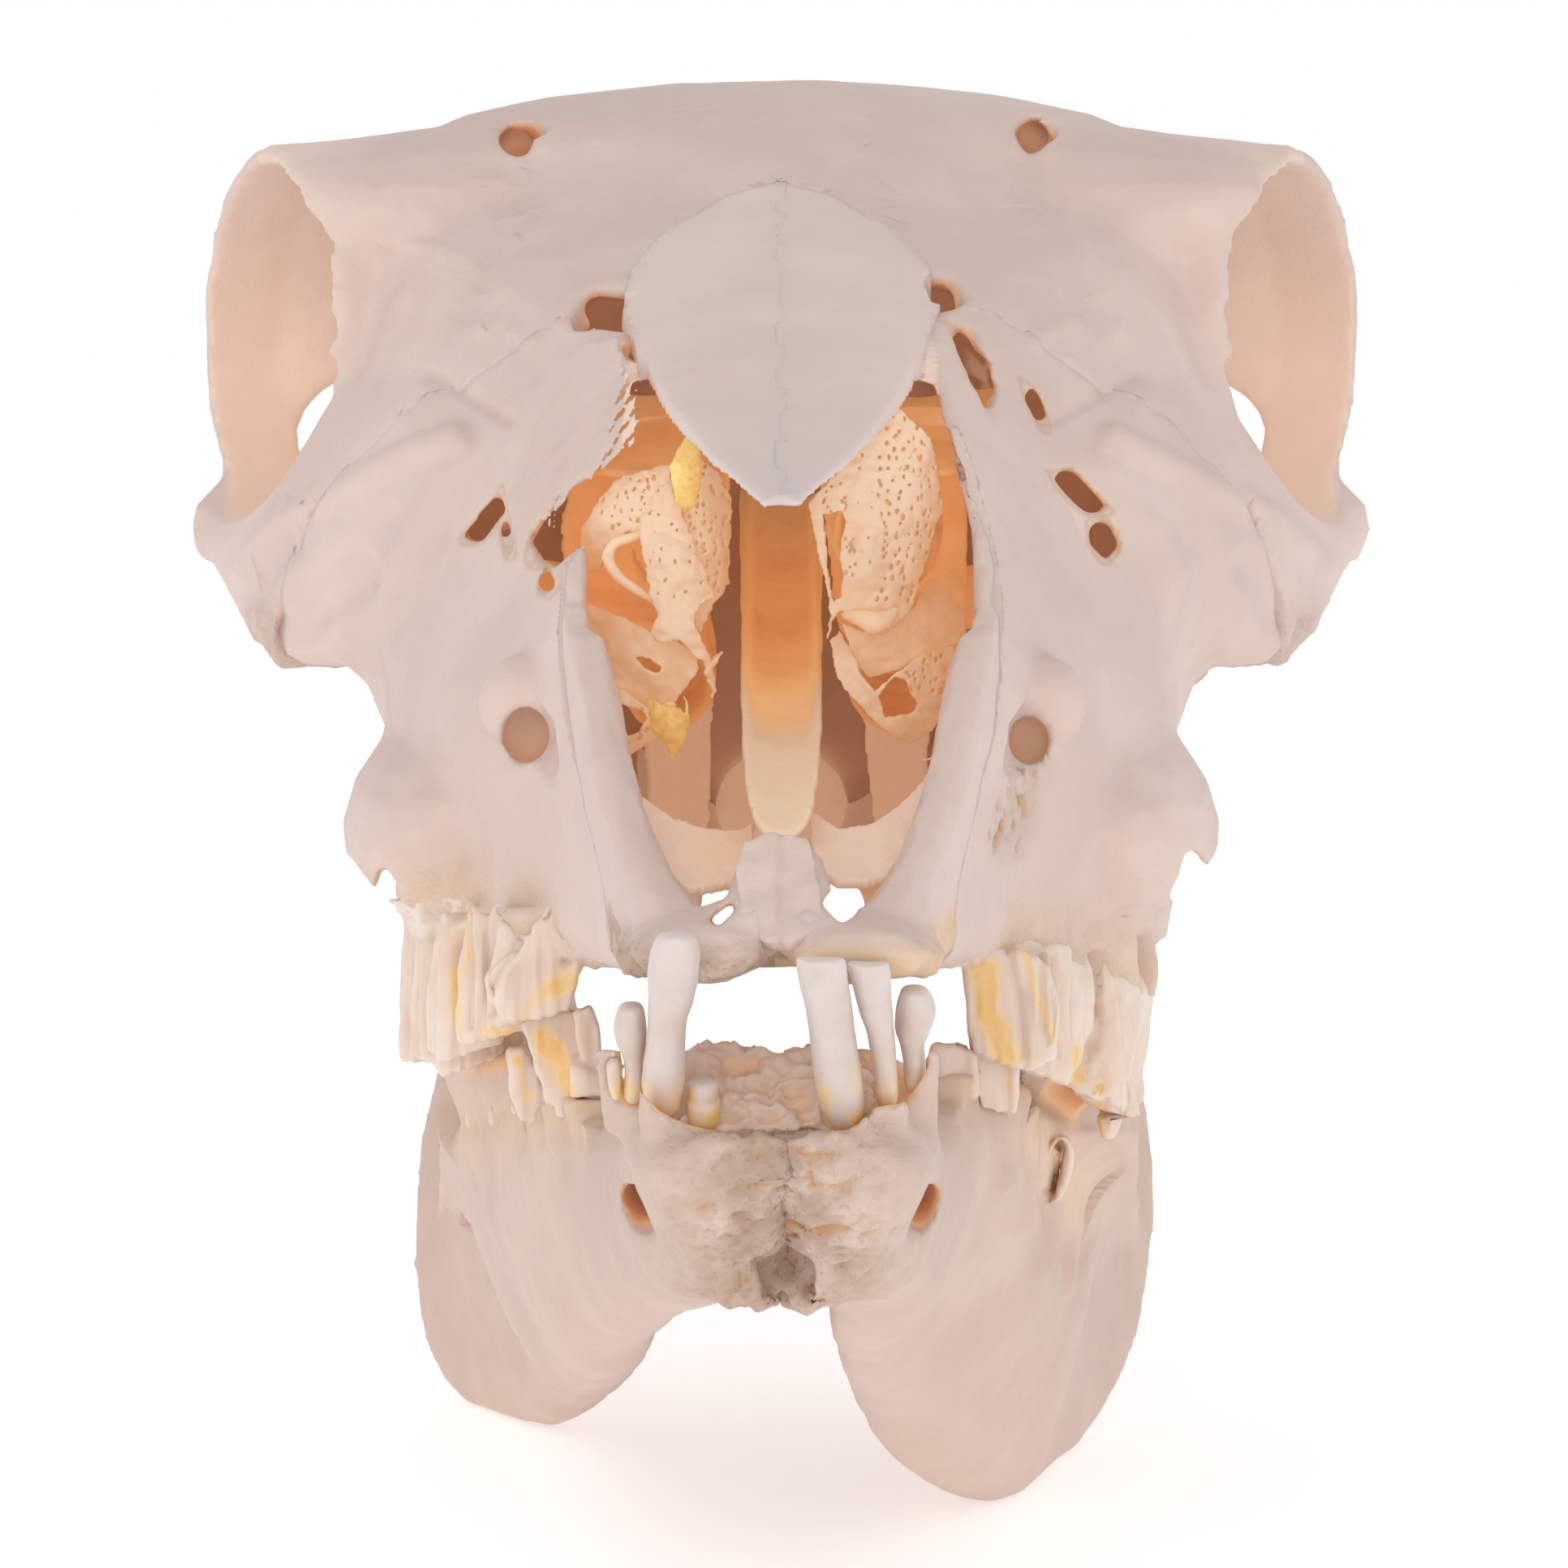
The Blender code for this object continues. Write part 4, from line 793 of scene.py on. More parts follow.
FACE_RELIEF = (
    ([(300, 700), (345, 645), (425, 605), (500, 562), (560, 540)], 26, 0.9),
    ([(372, 770), (395, 742), (432, 712)], 42, -1.5),
    ([(312, 735), (330, 700), (356, 672)], 26, -0.7),
    ([(655, 205), (622, 262), (596, 330), (575, 400)], 30, -0.7),
    ([(535, 462), (580, 490), (626, 517)], 12, -0.45),
    ([(470, 302), (530, 306), (584, 325)], 12, 0.3),
    ([(560, 410), (605, 400), (650, 418)], 20, 0.4),
    ([(470, 640), (440, 700), (440, 780), (470, 850)], 34, -0.8),
    ([(1630, 700), (1580, 648), (1500, 606), (1425, 566), (1372, 540)], 26, 0.9),
    ([(1545, 700), (1568, 735), (1580, 765)], 36, -0.8),
    ([(1272, 205), (1300, 262), (1325, 330), (1352, 400)], 30, -0.7),
    ([(1395, 462), (1350, 490), (1300, 517)], 12, -0.45),
    ([(1370, 410), (1325, 400), (1280, 418)], 20, 0.4),
    ([(1462, 640), (1490, 700), (1490, 780), (1462, 850)], 34, -0.8),
    ([(855, 150), (835, 260), (842, 330)], 22, -0.25),
    ([(1075, 150), (1098, 260), (1088, 330)], 22, -0.25),
)


def relief(points, normals, table):
    """Ridges and hollows placed in the picture, on the skin that faces the camera."""
    flat = flat_picture(points)
    facing = np.clip((normals[:, 2] * SIN - normals[:, 1] * COS) * 2.5, 0, 1)
    facing *= points[:, 1] < 135
    for rows, radius, height in table:
        points = raised(points, normals, drawn(flat, rows, radius) * facing * height)
    return points


def cranium_detail(points, normals):
    """Toothed socket rims, the forehead's seam, grooves and rough cheek edges."""
    for rim in both_sides(SOCKET_RIM):
        teeth = 0.9 * cloud(points, 1.9, 5) + 0.6 * cloud(points, 0.9, 6)
        points = raised(points, normals, near_line(points, rim, 2.6) * teeth)
    middle = np.clip(1 - np.abs(points[:, 0] + 0.25 * cloud(points, 2.2, 7)) / 0.6, 0, 1)
    middle *= (points[:, 2] > 118) & (points[:, 1] < 150)
    points = raised(points, normals, -0.05 * middle)
    points = relief(points, normals, FACE_RELIEF)
    flare = near(points, (47, 108, 84), (12, 16, 7)) + near(points, (-47, 108, 84), (12, 16, 7))
    lumps = 0.9 * cloud(points, 2.6, 8) + 0.5 * cloud(points, 1.2, 15)
    points = raised(points, normals, flare * lumps)
    # Painted light: the eye sockets glow, less at the top and not on the outward faces, and so does the
    # nose's cavity.
    lit = np.zeros(len(points))
    for side in (-1, 1):
        outwards = np.clip(normals[:, 0] * side * 2, 0, 1) * (np.abs(points[:, 0]) > 52)
        socket = near(points, (side * 49, 138, 110), (17, 32, 36)) ** 0.35
        lit = np.maximum(lit, socket * (1 - outwards))
    lit *= np.clip((points[:, 1] - 113) / 5, 0, 1)
    lit *= 1 - 0.55 * np.clip((points[:, 2] - 110) / 14, 0, 1)
    cavity = (np.abs(points[:, 0]) < 20) & (points[:, 2] < 112)
    cavity &= (points[:, 1] > 60) & (points[:, 1] < 110)
    return points, {"porous": np.clip(flare, 0, 0.5), "lit": np.maximum(lit, cavity * 0.6)}


def nibbles(line, every, size, seed):
    """Stones along a line in millimetres, to break an edge."""
    chance = random.Random(seed)
    made = []
    for a, b in zip(line, line[1:]):
        count = max(1, int(math.dist(a, b) / every))
        for k in range(count):
            place = [p + (q - p) * (k + chance.random()) / count for p, q in zip(a, b)]
            if chance.random() < 0.8:
                radii = [size * chance.uniform(0.5, 1.25) for _ in range(3)]
                made.append(stone(place, radii, chance, 0.35))
    return made


TEAR_LEFT = [(718, 374), (742, 366), (776, 364), (784, 425), (760, 413), (730, 410)]
TEAR_RIGHT = [(1120, 389), (1135, 362), (1153, 346), (1178, 356), (1172, 383), (1146, 401)]
cutters = [view_prism(TEAR_LEFT, 70, 98, 4.0, 86), view_prism(TEAR_RIGHT, 70, 98, 4.0, 87)]
cutters += [view_prism(vessel, 100, 136, 1.5, 84) for vessel in BROW_VESSEL]
for i, rim in enumerate(both_sides(SOCKET_RIM)):
    cutters += nibbles(rim, 1.5, 0.7, 21 + i)
bone("cranium", 0.62, ("maxilla_left", "maxilla_right", "nasal_left", "nasal_right"), cutters,
     detail=cranium_detail)

# %% [markdown]
# ## The upper jaws
# Each upper jaw carries the row of cheek teeth. The teeth are made of enamel further on, so the
# crowns that the frame's solids carry are first cut away along the tooth sockets' edge. That edge
# is an outline seen from the side, in millimetres back and up.

# %% Tooth rows and sockets' edge
# Each tooth: how far back, how far out and how wide it is.
UPPER_TEETH = {
    "left": ((47.4, 19.0, 6.6), (57.0, 24.0, 7.4), (66.4, 27.4, 7.8), (78.0, 28.8, 8.0), (92.0, 31.0, 8.0)),
    "right": ((47.4, 18.3, 5.2), (56.2, 22.2, 7.2), (65.4, 26.2, 7.8), (77.0, 28.4, 8.2), (90.8, 29.8, 8.4)),
}
LOWER_TEETH = {
    "left": ((44.4, 15.4, 4.4), (51.2, 17.4, 5.0), (60.4, 19.4, 5.2), (72, 21.4, 5.4), (86, 23.8, 5.8),
             (100, 26.8, 6.2)),
    "right": ((44.2, 13.9, 4.4), (51.0, 16.0, 5.0), (60.4, 18.8, 5.2), (72, 20.6, 5.2), (86, 23.2, 5.4),
              (99.5, 25.4, 5.8)),
}
UPPER_GUMS = {
    "left": ((20, 10), (20, 62), (40, 63.5), (48, 65.0), (57, 65.2), (64, 64.0), (72, 62.8), (80, 61.6),
             (92, 60.4), (104, 60), (114, 60), (114, 10)),
    "right": ((20, 10), (20, 62), (40, 62.4), (48, 62.6), (54, 61.2), (60, 59.2), (66, 57.0),
              (75, 55.0), (84, 54.4), (94, 54.4), (104, 57), (114, 58), (114, 10)),
}
print("cheek teeth above:", {side: len(UPPER_TEETH[side]) for side in SIDES})

# %% [markdown]
# ## Torn edges and slits in the face
# The left upper jaw is torn beside the nose, a loose plate of it stands at the tear, and slits and
# blood vessels' holes pierce the thin wall. All are outlines in the picture, pushed through.

# %% Torn edges and slits
TORN_GAP = [(722, 372), (748, 362), (776, 366), (784, 425), (794, 472), (820, 506), (852, 538), (868, 565),
            (800, 605), (745, 645), (684, 656), (690, 628), (710, 601), (741, 581), (768, 554),
            (785, 546), (788, 511), (778, 448), (760, 411), (733, 411)]
TORN_PLATE = [(725, 425), (748, 414), (768, 416), (780, 424), (784, 446), (792, 474), (798, 500),
              (790, 536), (772, 556), (748, 578), (724, 592), (708, 610), (694, 636), (680, 654),
              (664, 640), (676, 600), (700, 560), (728, 500)]
TORN_EDGE = ((768, 392), (776, 415), (784, 440), (790, 470), (794, 500), (788, 532), (770, 554), (745, 577),
             (722, 592), (706, 608), (690, 634), (678, 652))
FACE_SLITS = {
    "left": ([(620, 596), (600, 624), (566, 666), (594, 668), (619, 634)],
             [(618, 612), (615, 640), (623, 688), (635, 684), (631, 650)],
             [(656, 652), (647, 690), (665, 700)],
             [(672, 700), (664, 722), (676, 738), (688, 716)]),
    "right": ([(1122, 389), (1135, 362), (1153, 348), (1176, 357), (1171, 381), (1146, 399)],
              [(1166, 397), (1190, 415), (1216, 446), (1226, 482), (1220, 502), (1198, 474), (1180, 438)],
              [(1255, 464), (1264, 496), (1284, 532), (1294, 526), (1276, 482)],
              [(1290, 580), (1322, 580), (1348, 606), (1372, 632), (1338, 634), (1306, 606)],
              [(1338, 640), (1369, 644), (1381, 673), (1362, 696), (1343, 672)]),
}
TUBER_NOTCH = {"left": [(430, 1130), (446, 1098), (462, 1090), (468, 1070), (480, 1066), (490, 1092),
                        (494, 1130)],
               "right": [(1500, 1120), (1486, 1072), (1478, 1054), (1468, 1040), (1458, 1052), (1450, 1080),
                         (1440, 1104), (1450, 1120)]}
FISSURE = {"left": [(866, 1137), (902, 1110), (911, 1121), (887, 1143)],
           "right": [(1008, 1111), (1031, 1095), (1061, 1124), (1036, 1141)]}
NOSE_VESSEL = {"left": (648, 905, 57, 70), "right": (1267, 912, 52, 64)}
OLD_VESSEL = {"left": (650, 872), "right": (1281, 872)}
print("slits in the face:", {side: len(FACE_SLITS[side]) for side in SIDES})

# %% [markdown]
# ## Bone round the teeth
# The bone's side walls lie close to the roots and swell over each. So near the sockets' edge the
# walls are drawn to the tooth row, and on the right, where wall and crowns run on without a step,
# both are drawn out to one wall that the frame's solid gives.

# %% Walls beside the teeth
def hug_teeth(points, normals, rows, gums, reach):
    """Draws the bone's side walls to the teeth near their sockets' edge, so it wraps their roots."""
    table = np.array(rows)
    middle = np.interp(points[:, 1], table[:, 0], table[:, 1])
    half = np.interp(points[:, 1], table[:, 0], table[:, 2]) / 2 + 0.9
    edge = np.interp(points[:, 1], [g[0] for g in gums], [g[1] for g in gums])
    share = np.clip(1 - np.abs(points[:, 2] - edge) / reach, 0, 1) ** 1.2
    share *= (points[:, 1] > table[0, 0] - 6) & (points[:, 1] < table[-1, 0] + 9)
    away = np.abs(points[:, 0]) - middle
    wall = share * np.clip(np.abs(normals[:, 0]) * 2 - 0.4, 0, 1) * (np.abs(away) < half + 4)
    slim = np.sign(away) * np.where(np.abs(away) > half, half, np.maximum(np.abs(away), half * 0.98))
    moved = points.copy()
    moved[:, 0] = np.sign(points[:, 0]) * (middle + away + (slim - away) * wall)
    return moved, share


def outer_wall(side, z):
    """How far out the jaw's solid reaches at a height, for each place along the tooth row."""
    sign = -1 if side == "left" else 1
    found = []
    for y in np.arange(50.0, 101.0, 2.0):
        place, _, _, _ = ALL_BONE.ray_cast(at(90 * sign, y, z), Vector((-sign, 0, 0)))
        if place is not None and 24 < abs(place.x) / MM < 37:
            found.append((y, abs(place.x) / MM))
    return np.array(found).T


def flush(points, side):
    """Draws bone and crowns out to one wall, from the bone above to the crowns' lower part."""
    top, low = outer_wall(side, 64.0), outer_wall(side, 48.0)
    y, z, out = points[:, 1], points[:, 2], np.abs(points[:, 0])
    part = np.clip((z - 48) / 16, 0, 1)
    wall = np.interp(y, *low) * (1 - part) + np.interp(y, *top) * part
    share = np.clip((out - wall + 4) / 2, 0, 1) * ((z > 44) & (z < 64))
    share *= np.clip((y - 52) / 6, 0, 1) * np.clip((100 - y) / 4, 0, 1)
    moved = points.copy()
    moved[:, 0] += np.sign(points[:, 0]) * np.maximum(wall - out, 0) * share
    return moved


print("the wall above the teeth is", outer_wall("right", 64.0)[1].round(1), "mm out")

# %% [markdown]
# ## Making the upper jaws
# Everything above comes together here: the crowns are cut off, slits, seams and the canal behind
# the snout are cut, an old hole is filled, pits and pores are pressed into the skin, and the pits and
# the slits' edges get a painted shade.

# %% Upper jaws
VESSEL_CANAL = ((4.6, 4, 72.6, 1.8), (4.7, 12, 71.3, 1.9), (5.2, 40, 67.7, 2.0), (6.4, 90, 61.4, 2.4))
POROUS_PATCH = [(1268, 940), (1256, 975), (1248, 1005), (1240, 1035)]
PLATE_ANCHORS = ((735, 440), (740, 500), (700, 540), (660, 610), (700, 460))


def maxilla_detail(side):
    def detail(points, normals):
        points = relief(points, normals, FACE_RELIEF)
        if side == "right":
            points = flush(points, side)
        _, share = hug_teeth(points, normals, UPPER_TEETH[side], UPPER_GUMS[side][1:-1], 7.0)
        swell = share * (1 - share) * 1.2 * cloud(points, 1.7, 10)
        points = raised(points, normals, swell)
        mark = np.zeros(len(points))
        porous = share * 0.4
        if side == "right":
            patch = marked(points, normals, POROUS_PATCH, 42)
            pits = np.clip(cloud(points, 1.0, 14) - 0.1, 0, 1)
            points = raised(points, normals, -1.4 * patch * pits)
            # A painted shade in the pits, as deep as they are pressed in.
            mark = patch * np.clip(pits * 2.2, 0, 0.7)
            porous = np.maximum(porous, patch * 0.5)
        # A painted shade rings each slit.
        for slit in FACE_SLITS[side]:
            mark = np.maximum(mark, 0.5 * marked(points, normals, slit + slit[:1], 6))
        hole = on_bone(*NOSE_VESSEL[side][:2])
        # Less painted shade by the sockets' edge and round the nose vessel's hole; a painted glow in the
        # nose's cavity.
        less_shade = np.maximum(share * 1.6, 0.5 * (near(points, hole, (6, 11, 7)) > 0.02))
        cavity = (np.abs(points[:, 0]) < 14) & (points[:, 1] > 46) & (points[:, 2] > 62)
        return points, {"stain": share * 0.3, "porous": porous, "mark": mark, "less_shade": less_shade,
                        "lit": cavity * 0.6}

    return detail


def maxilla_cutters(side):
    sign = -1 if side == "left" else 1
    made = [side_prism(UPPER_GUMS[side]), round_hole(*NOSE_VESSEL[side], 25, 53)]
    made += [view_prism(slit, 50, 116, 2.0, 90 + i) for i, slit in enumerate(FACE_SLITS[side])]
    made.append(bar([(sign * x, y, z, radius) for x, y, z, radius in VESSEL_CANAL], 1.2))
    made += [view_prism(FISSURE[side], -3, 112), view_prism(TUBER_NOTCH[side], 58, 92, 1.0, 29)]
    if side == "left":
        made.append(view_prism(TORN_GAP, 44, 97, 6.0, 88))
        hits = [on_bone(u - 14, v) for u, v in TORN_EDGE]
        edge = [seen(u + 3, v, hit[1]) for (u, v), hit in zip(TORN_EDGE, hits) if hit]
        made += nibbles(edge, 1.2, 0.6, 25)
    return made


for side in SIDES:
    cutters = maxilla_cutters(side)
    fillers = [plug(*OLD_VESSEL[side], 4.4)]
    if side == "left":
        fillers.append(fitted_plate(TORN_PLATE, PLATE_ANCHORS, 1.1, 5.0, 31))
    bone("maxilla_" + side, 0.48,
         ("cranium", "maxilla_" + OTHER[side], "premaxilla_" + side, "nasal_" + side), cutters,
         fillers, detail=maxilla_detail(side))

# %% [markdown]
# ## Snout bones and nasal bones
# The snout bones end in a toothless pad and frame the nose opening with two free arms. The nasal
# bones are a thin roof over it that comes to two fine points.

# %% Snout and nasal bones
NASAL_NOTCH = [(948, 648), (961, 612), (968, 611), (973, 648)]


def nasal_detail(points, normals):
    return points, {"cool": np.clip((56 - points[:, 1]) / 34, 0, 1)}


def pad_detail(points, normals):
    low = np.clip((70.8 - points[:, 2]) / 2.6, 0, 1) * (points[:, 1] < 26)
    worn = low * np.where(points[:, 0] < 0, 1.0, 0.35)
    points = raised(points, normals, -0.4 * worn * np.clip(cloud(points, 1.1, 16) + 0.1, 0, 1))
    # Less painted shade on the worn lower edge of the pad.
    return points, {"porous": worn, "less_shade": low, "stain": low * (points[:, 0] > 0) * 0.45}


for side in SIDES:
    bone("premaxilla_" + side, 0.36, ("maxilla_" + side, "premaxilla_" + OTHER[side]),
         [view_prism(FISSURE[side], -3, 60)], detail=pad_detail)
    bone("nasal_" + side, 0.34, ("cranium", "maxilla_" + side, "nasal_" + OTHER[side]),
         [view_prism(NASAL_NOTCH, 8, 60)], detail=nasal_detail, smooth=7, finish=NASAL_BONE_LIT)

# %% [markdown]
# ## The lower jaw
# The two halves meet at the chin in a rough seam. The bone there is full of pits, the front teeth
# stand in open sockets, and the cheek teeth stand in a row behind. Every front tooth is drawn from
# its tip to its root, because its socket is cut with the same rows as the tooth itself.

# %% Sockets' edge and front teeth
LOWER_GUMS = {
    "left": ((-30, 60.0), (15, 60.6), (24, 56.5), (38, 51.4), (50, 49.4), (62, 47.0), (76, 43.6),
             (90, 40.4), (104, 38.6), (107, 39), (107, 76), (-30, 76)),
    "right": ((-30, 60.0), (15, 60.6), (24, 56.5), (37, 53.4), (50, 52.6), (58, 50.4), (67, 46.0),
              (77, 40.6), (90, 34.4), (104, 29.0), (107, 29.5), (107, 76), (-30, 76)),
}
# Each front tooth: how far back its tip is and how much it slopes back per picture point, then
# rows of (u, v, width in picture points, thickness in millimetres) from tip to root.
INCISORS = {
    "mandible_left": (
        (-3.9, 0.043, ((833, 1151, 26, 1.2), (834, 1157, 50, 2.0), (832, 1178, 65, 2.6),
                       (829, 1200, 65, 2.9), (827, 1232, 58, 3.0), (822, 1258, 49, 2.9),
                       (820, 1285, 50, 3.0), (818, 1320, 54, 3.3), (817, 1346, 52, 3.3),
                       (818, 1364, 42, 2.6), (819, 1372, 22, 1.4))),
        (2.4, 0.04, ((777, 1238, 14, 1.0), (777, 1243, 31, 2.0), (776, 1264, 41, 2.8), (778, 1285, 38, 2.7),
                     (781, 1302, 28, 2.0), (782, 1322, 25, 1.8), (780, 1345, 26, 1.9),
                     (780, 1357, 16, 1.2))),
        (5.2, 0.03, ((757, 1306, 9, 0.8), (756, 1315, 18, 1.5), (757, 1334, 18, 1.5),
                     (760, 1353, 12, 1.0))),
        (4.6, 0.02, ((867, 1331, 20, 1.2), (867, 1337, 37, 2.0), (866, 1352, 38, 2.3), (866, 1360, 44, 2.7),
                     (867, 1376, 44, 2.7), (867, 1383, 40, 2.4), (867, 1396, 40, 2.4),
                     (867, 1404, 26, 1.4))),
    ),
    "mandible_right": (
        (-4.3, 0.042, ((1010, 1182, 54, 0.9), (1012, 1188, 62, 1.5), (1015, 1212, 62, 2.4),
                       (1022, 1251, 58, 3.0), (1029, 1301, 60, 3.3), (1036, 1351, 59, 3.3),
                       (1041, 1379, 46, 2.8), (1045, 1397, 22, 1.4))),
        (-2.2, 0.043, ((1070, 1187, 48, 0.8), (1070, 1192, 54, 1.4), (1074, 1215, 49, 2.0),
                       (1078, 1240, 43, 2.3), (1086, 1280, 34, 2.4), (1091, 1320, 30, 2.3),
                       (1093, 1350, 28, 2.2), (1093, 1366, 18, 1.4))),
        (2.4, 0.04, ((1126, 1218, 18, 1.2), (1127, 1223, 36, 2.2), (1129, 1244, 50, 3.1),
                     (1125, 1268, 46, 2.9), (1124, 1286, 31, 2.2), (1127, 1310, 28, 2.0),
                     (1127, 1334, 26, 2.0), (1126, 1346, 16, 1.2))),
    ),
}


def from_picture(tooth):
    """Rows of (x, y, z, width, thickness) in millimetres from a front tooth's picture rows."""
    tip, slope, rows = tooth
    made = []
    for u, v, width, thick in rows:
        y = tip + (v - rows[0][1]) * slope
        made.append(seen(u, v, y) + (width * (y - CAMERA_Y) / FOCAL, thick))
    return made


def sockets(node):
    """Cutters that open a socket along every front tooth."""
    return [bar([(x, y, z, width / 2 + 0.5) for x, y, z, width, _ in from_picture(tooth)], 0.9)
            for tooth in INCISORS[node]]


print("front teeth:", sum(len(teeth) for teeth in INCISORS.values()))

# %% [markdown]
# ## Outlines at the chin and the cheek
# The chin is open between the roots, a hole and a torn lower edge mark its seam, and behind the
# row's front the jaw's outer wall swells over the roots as an apron of bone. On the right a slit in
# it shows a tooth that was still growing.

# %% Chin and aprons
JAW_TROUGH = [(776, 1300), (788, 1340), (806, 1366), (850, 1388), (890, 1396), (950, 1388), (1050, 1393),
              (1074, 1364), (1108, 1360), (1143, 1318), (1148, 1250), (780, 1250)]
CHIN_HOLE = [(930, 1556), (950, 1545), (1002, 1548), (1006, 1578), (992, 1600), (1000, 1640), (950, 1640),
             (962, 1606), (938, 1588)]
CHIN_WEDGE = {"left": [(964, 1530), (900, 1545), (868, 1575), (880, 1602), (898, 1614), (916, 1605),
                       (934, 1618), (950, 1606), (964, 1610)],
              "right": [(962, 1530), (962, 1610), (978, 1612), (996, 1622), (1014, 1606), (1030, 1612),
                        (1056, 1586), (1040, 1550)]}
# An apron: picture columns, then rows of (picture height, depth), one for each column.
APRONS = {
    "left": ((541, 560, 580, 605, 630, 652), (
        ((1322, 104), (1313, 96), (1304, 88), (1296, 79), (1291, 71), (1302, 66)),
        ((1350, 104), (1348, 95), (1346, 87), (1344, 78), (1342, 70), (1344, 65)),
        ((1400, 110), (1400, 99), (1400, 89), (1400, 79), (1400, 70), (1400, 65)),
        ((1450, 132), (1450, 118), (1450, 98), (1450, 84), (1450, 72), (1450, 64)),
        ((1510, 172), (1510, 166), (1510, 120), (1510, 96), (1510, 82), (1510, 70)))),
    "right": ((1250, 1272, 1296, 1320, 1346, 1376, 1403), (
        ((1304, 64), (1310, 68), (1320, 72), (1332, 77), (1352, 83), (1362, 91), (1370, 99)),
        ((1345, 69), (1352, 74), (1360, 78), (1370, 82), (1384, 86), (1386, 91), (1390, 99)),
        ((1372, 65), (1384, 69), (1390, 73), (1398, 77), (1405, 82), (1402, 89), (1402, 98)),
        ((1440, 66), (1440, 71), (1440, 77), (1440, 84), (1440, 93), (1440, 103), (1440, 113)),
        ((1500, 71), (1500, 78), (1500, 85), (1500, 93), (1500, 109), (1500, 130), (1500, 148)),
        ((1565, 79), (1565, 85), (1565, 92), (1565, 106), (1565, 126), (1565, 160), (1565, 168)))),
}
CRYPT_SLIT = [(1301, 1411), (1308, 1422), (1305, 1441), (1298, 1461), (1290, 1471), (1286, 1454),
              (1292, 1430)]
CRYPT_EDGE_LINE = CRYPT_SLIT[:4] + [(1289, 1468)]
CRYPT_LIGHT = [(1280, 1410), (1310, 1450), (1330, 1480)]
# A painted shadow: the band where the gap between upper and lower teeth lies in shade.
SHADOW_BAND = [(1262, 1342), (1300, 1358), (1338, 1376)]
CHIN_RIDGE = [(938, 1400), (946, 1450), (944, 1500), (936, 1545)]
CHIN_GROOVE = [(962, 1385), (964, 1440), (972, 1500), (966, 1545)]
CHIN_COMB = [(968, 1470), (968, 1535)]
CHIN_TEARS = ((880, 1600), (898, 1612), (916, 1604), (934, 1616), (978, 1612), (996, 1620), (1014, 1606))
print("outlines at the chin:", len(CHIN_HOLE), "points round its hole")

# %% [markdown]
# ## Making the lower jaw
# Small stones tear the chin's lower edge. Then the skin gets its pits and pores, a ridge, a groove
# and a comb of fine ribs beside the seam, and faint ribs over the roots of the cheek teeth.

# %% Lower jaw
def chin_stones(side):
    chance = random.Random(17 if side == "left" else 18)
    found = []
    for u, v in CHIN_TEARS:
        hit = on_bone(u, v - 18) if (u < 963) == (side == "left") else None
        if hit:
            found.append(stone((hit[0], hit[1] + 1.0, hit[2] - 1.2), (1.0, 2.2, 0.9), chance))
    return found


def chin_detail(points, normals):
    chin = np.clip((34 - points[:, 1]) / 16, 0, 1) * np.clip((points[:, 2] - 33) / 6, 0, 1)
    middle = np.clip(1.15 - np.abs(points[:, 0]) / 9, 0, 1)
    rough = chin * (0.15 + 0.85 * middle)
    pits = 1.4 * np.minimum(cloud(points, 1.4, 11), 0.05) + 0.9 * np.minimum(cloud(points, 0.8, 12), 0)
    points = raised(points, normals, rough * pits)
    flat = flat_picture(points)
    facing = np.clip(-normals[:, 1] * 3, 0, 1)
    ridge = drawn(flat, CHIN_RIDGE, 15) * facing
    groove = drawn(flat, CHIN_GROOVE, 11) * facing
    comb = drawn(flat, CHIN_COMB, 24) * facing * (0.5 + 0.5 * np.sin(flat[:, 1] / 1.9))
    points = raised(points, normals, 0.5 * ridge - 0.8 * groove + 0.8 * comb - 0.4 * (comb > 0))
    # A painted shade in the deepest pits and along the groove.
    mark = np.maximum(rough * np.clip(-pits * 1.3 - 0.4, 0, 0.8), groove * 0.3)
    return points, {"porous": np.clip(rough * 1.2, 0, 1), "cool": chin * 0.15, "mark": mark}


def jaw_detail(side):
    def detail(points, normals):
        points, share = hug_teeth(points, normals, LOWER_TEETH[side], LOWER_GUMS[side][2:-2], 6.0)
        ribs = 0.07 * np.sin(points[:, 1] * 2 * np.pi / 4.4 + 1.2 * cloud(points, 5.0, 19))
        points = raised(points, normals, share * (ribs + 0.14 * cloud(points, 1.7, 20)))
        points, found = chin_detail(points, normals)
        if side == "right":
            # A painted shade along the slit's edge, a painted shadow in the band, and a painted glow over
            # the crypt.
            slit = marked(points, normals, CRYPT_EDGE_LINE, 9)
            shadow_band = 0.42 * marked(points, normals, SHADOW_BAND, 30)
            found["mark"] = np.maximum(found["mark"], np.maximum(slit, shadow_band))
            found["lit"] = 0.35 * marked(points, normals, CRYPT_LIGHT, 60)
        found["stain"] = share * 0.3
        # Less painted shade by the sockets' edge and where the chin is porous.
        found["less_shade"] = np.maximum(share * 1.5, found["porous"] * 0.7)
        return points, found

    return detail


for side in SIDES:
    cutters = [side_prism(LOWER_GUMS[side]), view_prism(JAW_TROUGH, -7, 13)]
    cutters += [view_prism(CHIN_HOLE, -4, 9.5, 1.5, 19)] + sockets("mandible_" + side) + chin_stones(side)
    fillers = [view_prism(CHIN_WEDGE[side], 5.5, 15)]
    slit = [view_prism(CRYPT_SLIT, 66, 86)] if side == "right" else []
    bone("mandible_" + side, 0.52, ("mandible_" + OTHER[side],), cutters, fillers,
         [apron(*APRONS[side])], slit, jaw_detail(side), 5, JAW_BONE_SHADED)
